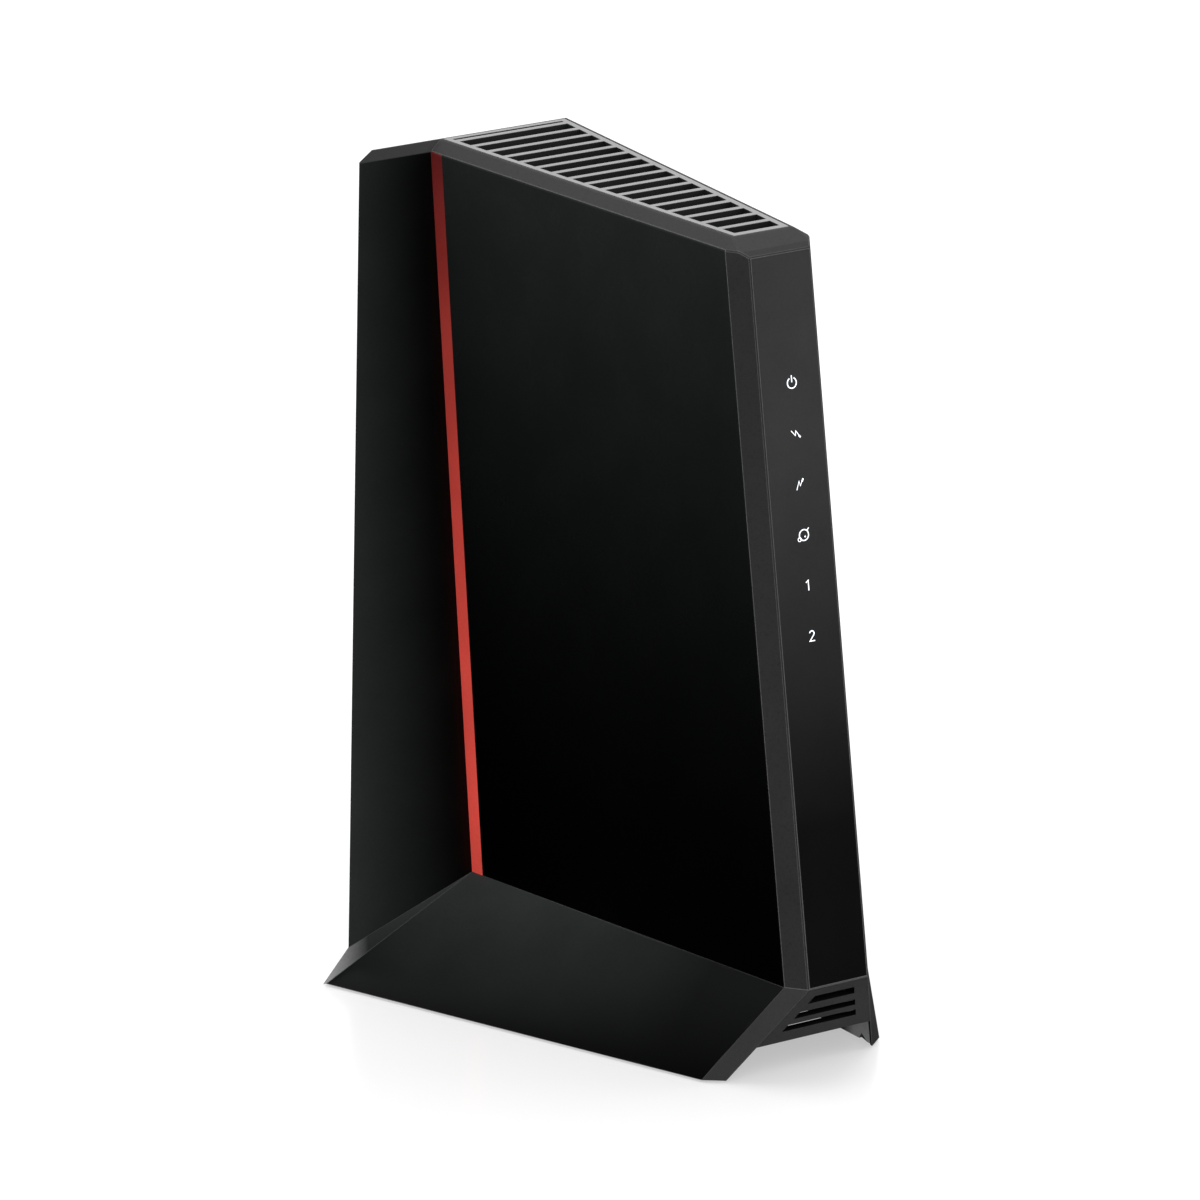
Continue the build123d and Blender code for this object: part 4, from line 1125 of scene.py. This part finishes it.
@dataclass
class PortMarks:
    """Raised plain marks beside the sockets on the rear."""

    size: float = 3.6 * MM
    stroke: float = 0.5 * MM
    thick: float = 0.12 * MM
    beside: float = 12.5 * MM
    marked: dict[Symbol, str] = field(
        default_factory=lambda: {
            Symbol.ONE: "lan_1_shield",
            Symbol.TWO: "lan_2_shield",
            Symbol.POWER: "power_button",
        }
    )

    def build(self) -> None:
        """Makes the marks by the network sockets and by the power button."""
        _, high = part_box("rear_panel")
        for symbol, node in self.marked.items():
            low_corner, high_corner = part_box(node)
            middle = (low_corner.z + high_corner.z) / 2
            solid = symbol_solid(symbol, self.size, self.stroke, self.thick)
            points, faces = placed(solid, (self.beside, high.y, middle), (-1.0, 0.0, 0.0), (0.0, 0.0, 1.0))
            name = f"port_mark_{symbol.name.lower()}"
            piece = mesh_object(name, points, faces.tolist(), smooth=False)
            settle(piece, SHELL_BODY, MARK_GREY)


# ---------------------------------------------------------------- studio
@dataclass
class Studio:
    """Floor, soft light and the camera."""

    azimuth: float = -33.197
    elevation: float = 18.002
    distance: float = 2.395236
    target: tuple[float, float, float] = (0.0, ORIGIN_SHIFT, 109.23 * MM)
    lens: float = 252.0
    floor_half: float = 8.0
    floor_tone: float = 0.5
    floor_glow: float = 0.95
    lamp_aim: tuple[float, float, float] = (0.0, 0.0, 0.1)
    sky_low: float = 0.02
    sky_high: float = 0.85
    sky_blend: float = 0.22

    def build(self) -> None:
        """Makes the whole studio."""
        self._floor()
        self._dome()
        self._lamp("softbox_top", (0.1, 0.2, 1.7), 1.6, 16.0)
        self._lamp("softbox_front_left", (-1.3, -1.5, 1.3), 1.2, 15.0)
        self._lamp("softbox_right", (1.6, -0.9, 0.9), 0.9, 9.0)
        self._camera()
        bpy.context.scene.view_settings.view_transform = "Standard"

    def _floor(self) -> None:
        """A pale floor with a faint gloss, a flat sheet of four corners."""
        h = self.floor_half
        corners = np.array([[-h, -h, 0], [h, -h, 0], [h, h, 0], [-h, h, 0]], float)
        floor = mesh_object("studio_floor", corners, [[0, 1, 2, 3]], smooth=False)
        tone = Finish("floor_pale", (self.floor_tone,) * 3, rough=0.22, specular=0.5, grain=Grain.SATIN,
                      grain_size=0.4, relief=0.02 * MM, speck=0.0, mottle=0.0, rough_spread=0.02,
                      glow=self.floor_glow)
        floor.data.materials.append(tone.material())
        floor.visible_glossy = False
        floor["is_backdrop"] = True

    def _dome(self) -> None:
        """Surrounding light: nearly dark well under the horizon, bright well above it."""
        world = bpy.data.worlds.new("studio_dome")
        bpy.context.scene.world = world
        world.use_nodes = True
        tree = world.node_tree
        tree.nodes.clear()
        add = tree.nodes.new
        place = add("ShaderNodeTexCoord").outputs["Generated"]
        height = axes_of(tree, place)["Z"]
        level = ranged(tree, height, self.sky_low, self.sky_high, -self.sky_blend, self.sky_blend)
        background = add("ShaderNodeBackground")
        background.inputs["Color"].default_value = (1.0, 1.0, 1.0, 1.0)
        tree.links.new(level, background.inputs["Strength"])
        output = add("ShaderNodeOutputWorld")
        tree.links.new(background.outputs[0], output.inputs["Surface"])

    def _lamp(self, name: str, place: tuple[float, float, float], size: float, power: float) -> None:
        """A square area lamp that faces the object.

        Args:
            name: The lamp's name.
            place: Where it hangs.
            size: Its side.
            power: Its output in watts.
        """
        lamp = bpy.data.lights.new(name, "AREA")
        lamp.size = size
        lamp.energy = power
        holder = bpy.data.objects.new(name, lamp)
        aim = np.array(self.lamp_aim) - np.array(place)
        flat = math.hypot(aim[0], aim[1])
        holder.location = place
        holder.rotation_euler = (math.atan2(flat, -aim[2]), 0.0, math.atan2(-aim[0], aim[1]))
        bpy.context.scene.collection.objects.link(holder)

    def _camera(self) -> None:
        """The camera on its long lens, aimed at the middle of the object."""
        az = math.radians(self.azimuth)
        el = math.radians(self.elevation)
        away = np.array([math.sin(az) * math.cos(el), -math.cos(az) * math.cos(el), math.sin(el)])
        view = bpy.data.cameras.new("studio_camera")
        view.lens = self.lens
        view.sensor_width = 36.0
        view.clip_end = 50.0
        holder = bpy.data.objects.new("studio_camera", view)
        holder.location = np.array(self.target) + away * self.distance
        holder.rotation_euler = (math.radians(90) - el, 0.0, az)
        bpy.context.scene.collection.objects.link(holder)
        bpy.context.scene.camera = holder


def main(cad_bounds: tuple) -> None:
    """Builds and dresses every sub-assembly, then the studio.
    """
    Casing().dress()
    Electronics().dress()
    CoaxSocket().build()
    LightStrip().build()
    PortMarks().build()
    Studio().build()


def plain(bounds: tuple) -> list:
    """A box as plain lists of numbers."""
    return [[float(value) for value in corner] for corner in bounds]


if __name__ == "__main__":
    logging.basicConfig(level=logging.INFO)
    main(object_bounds())
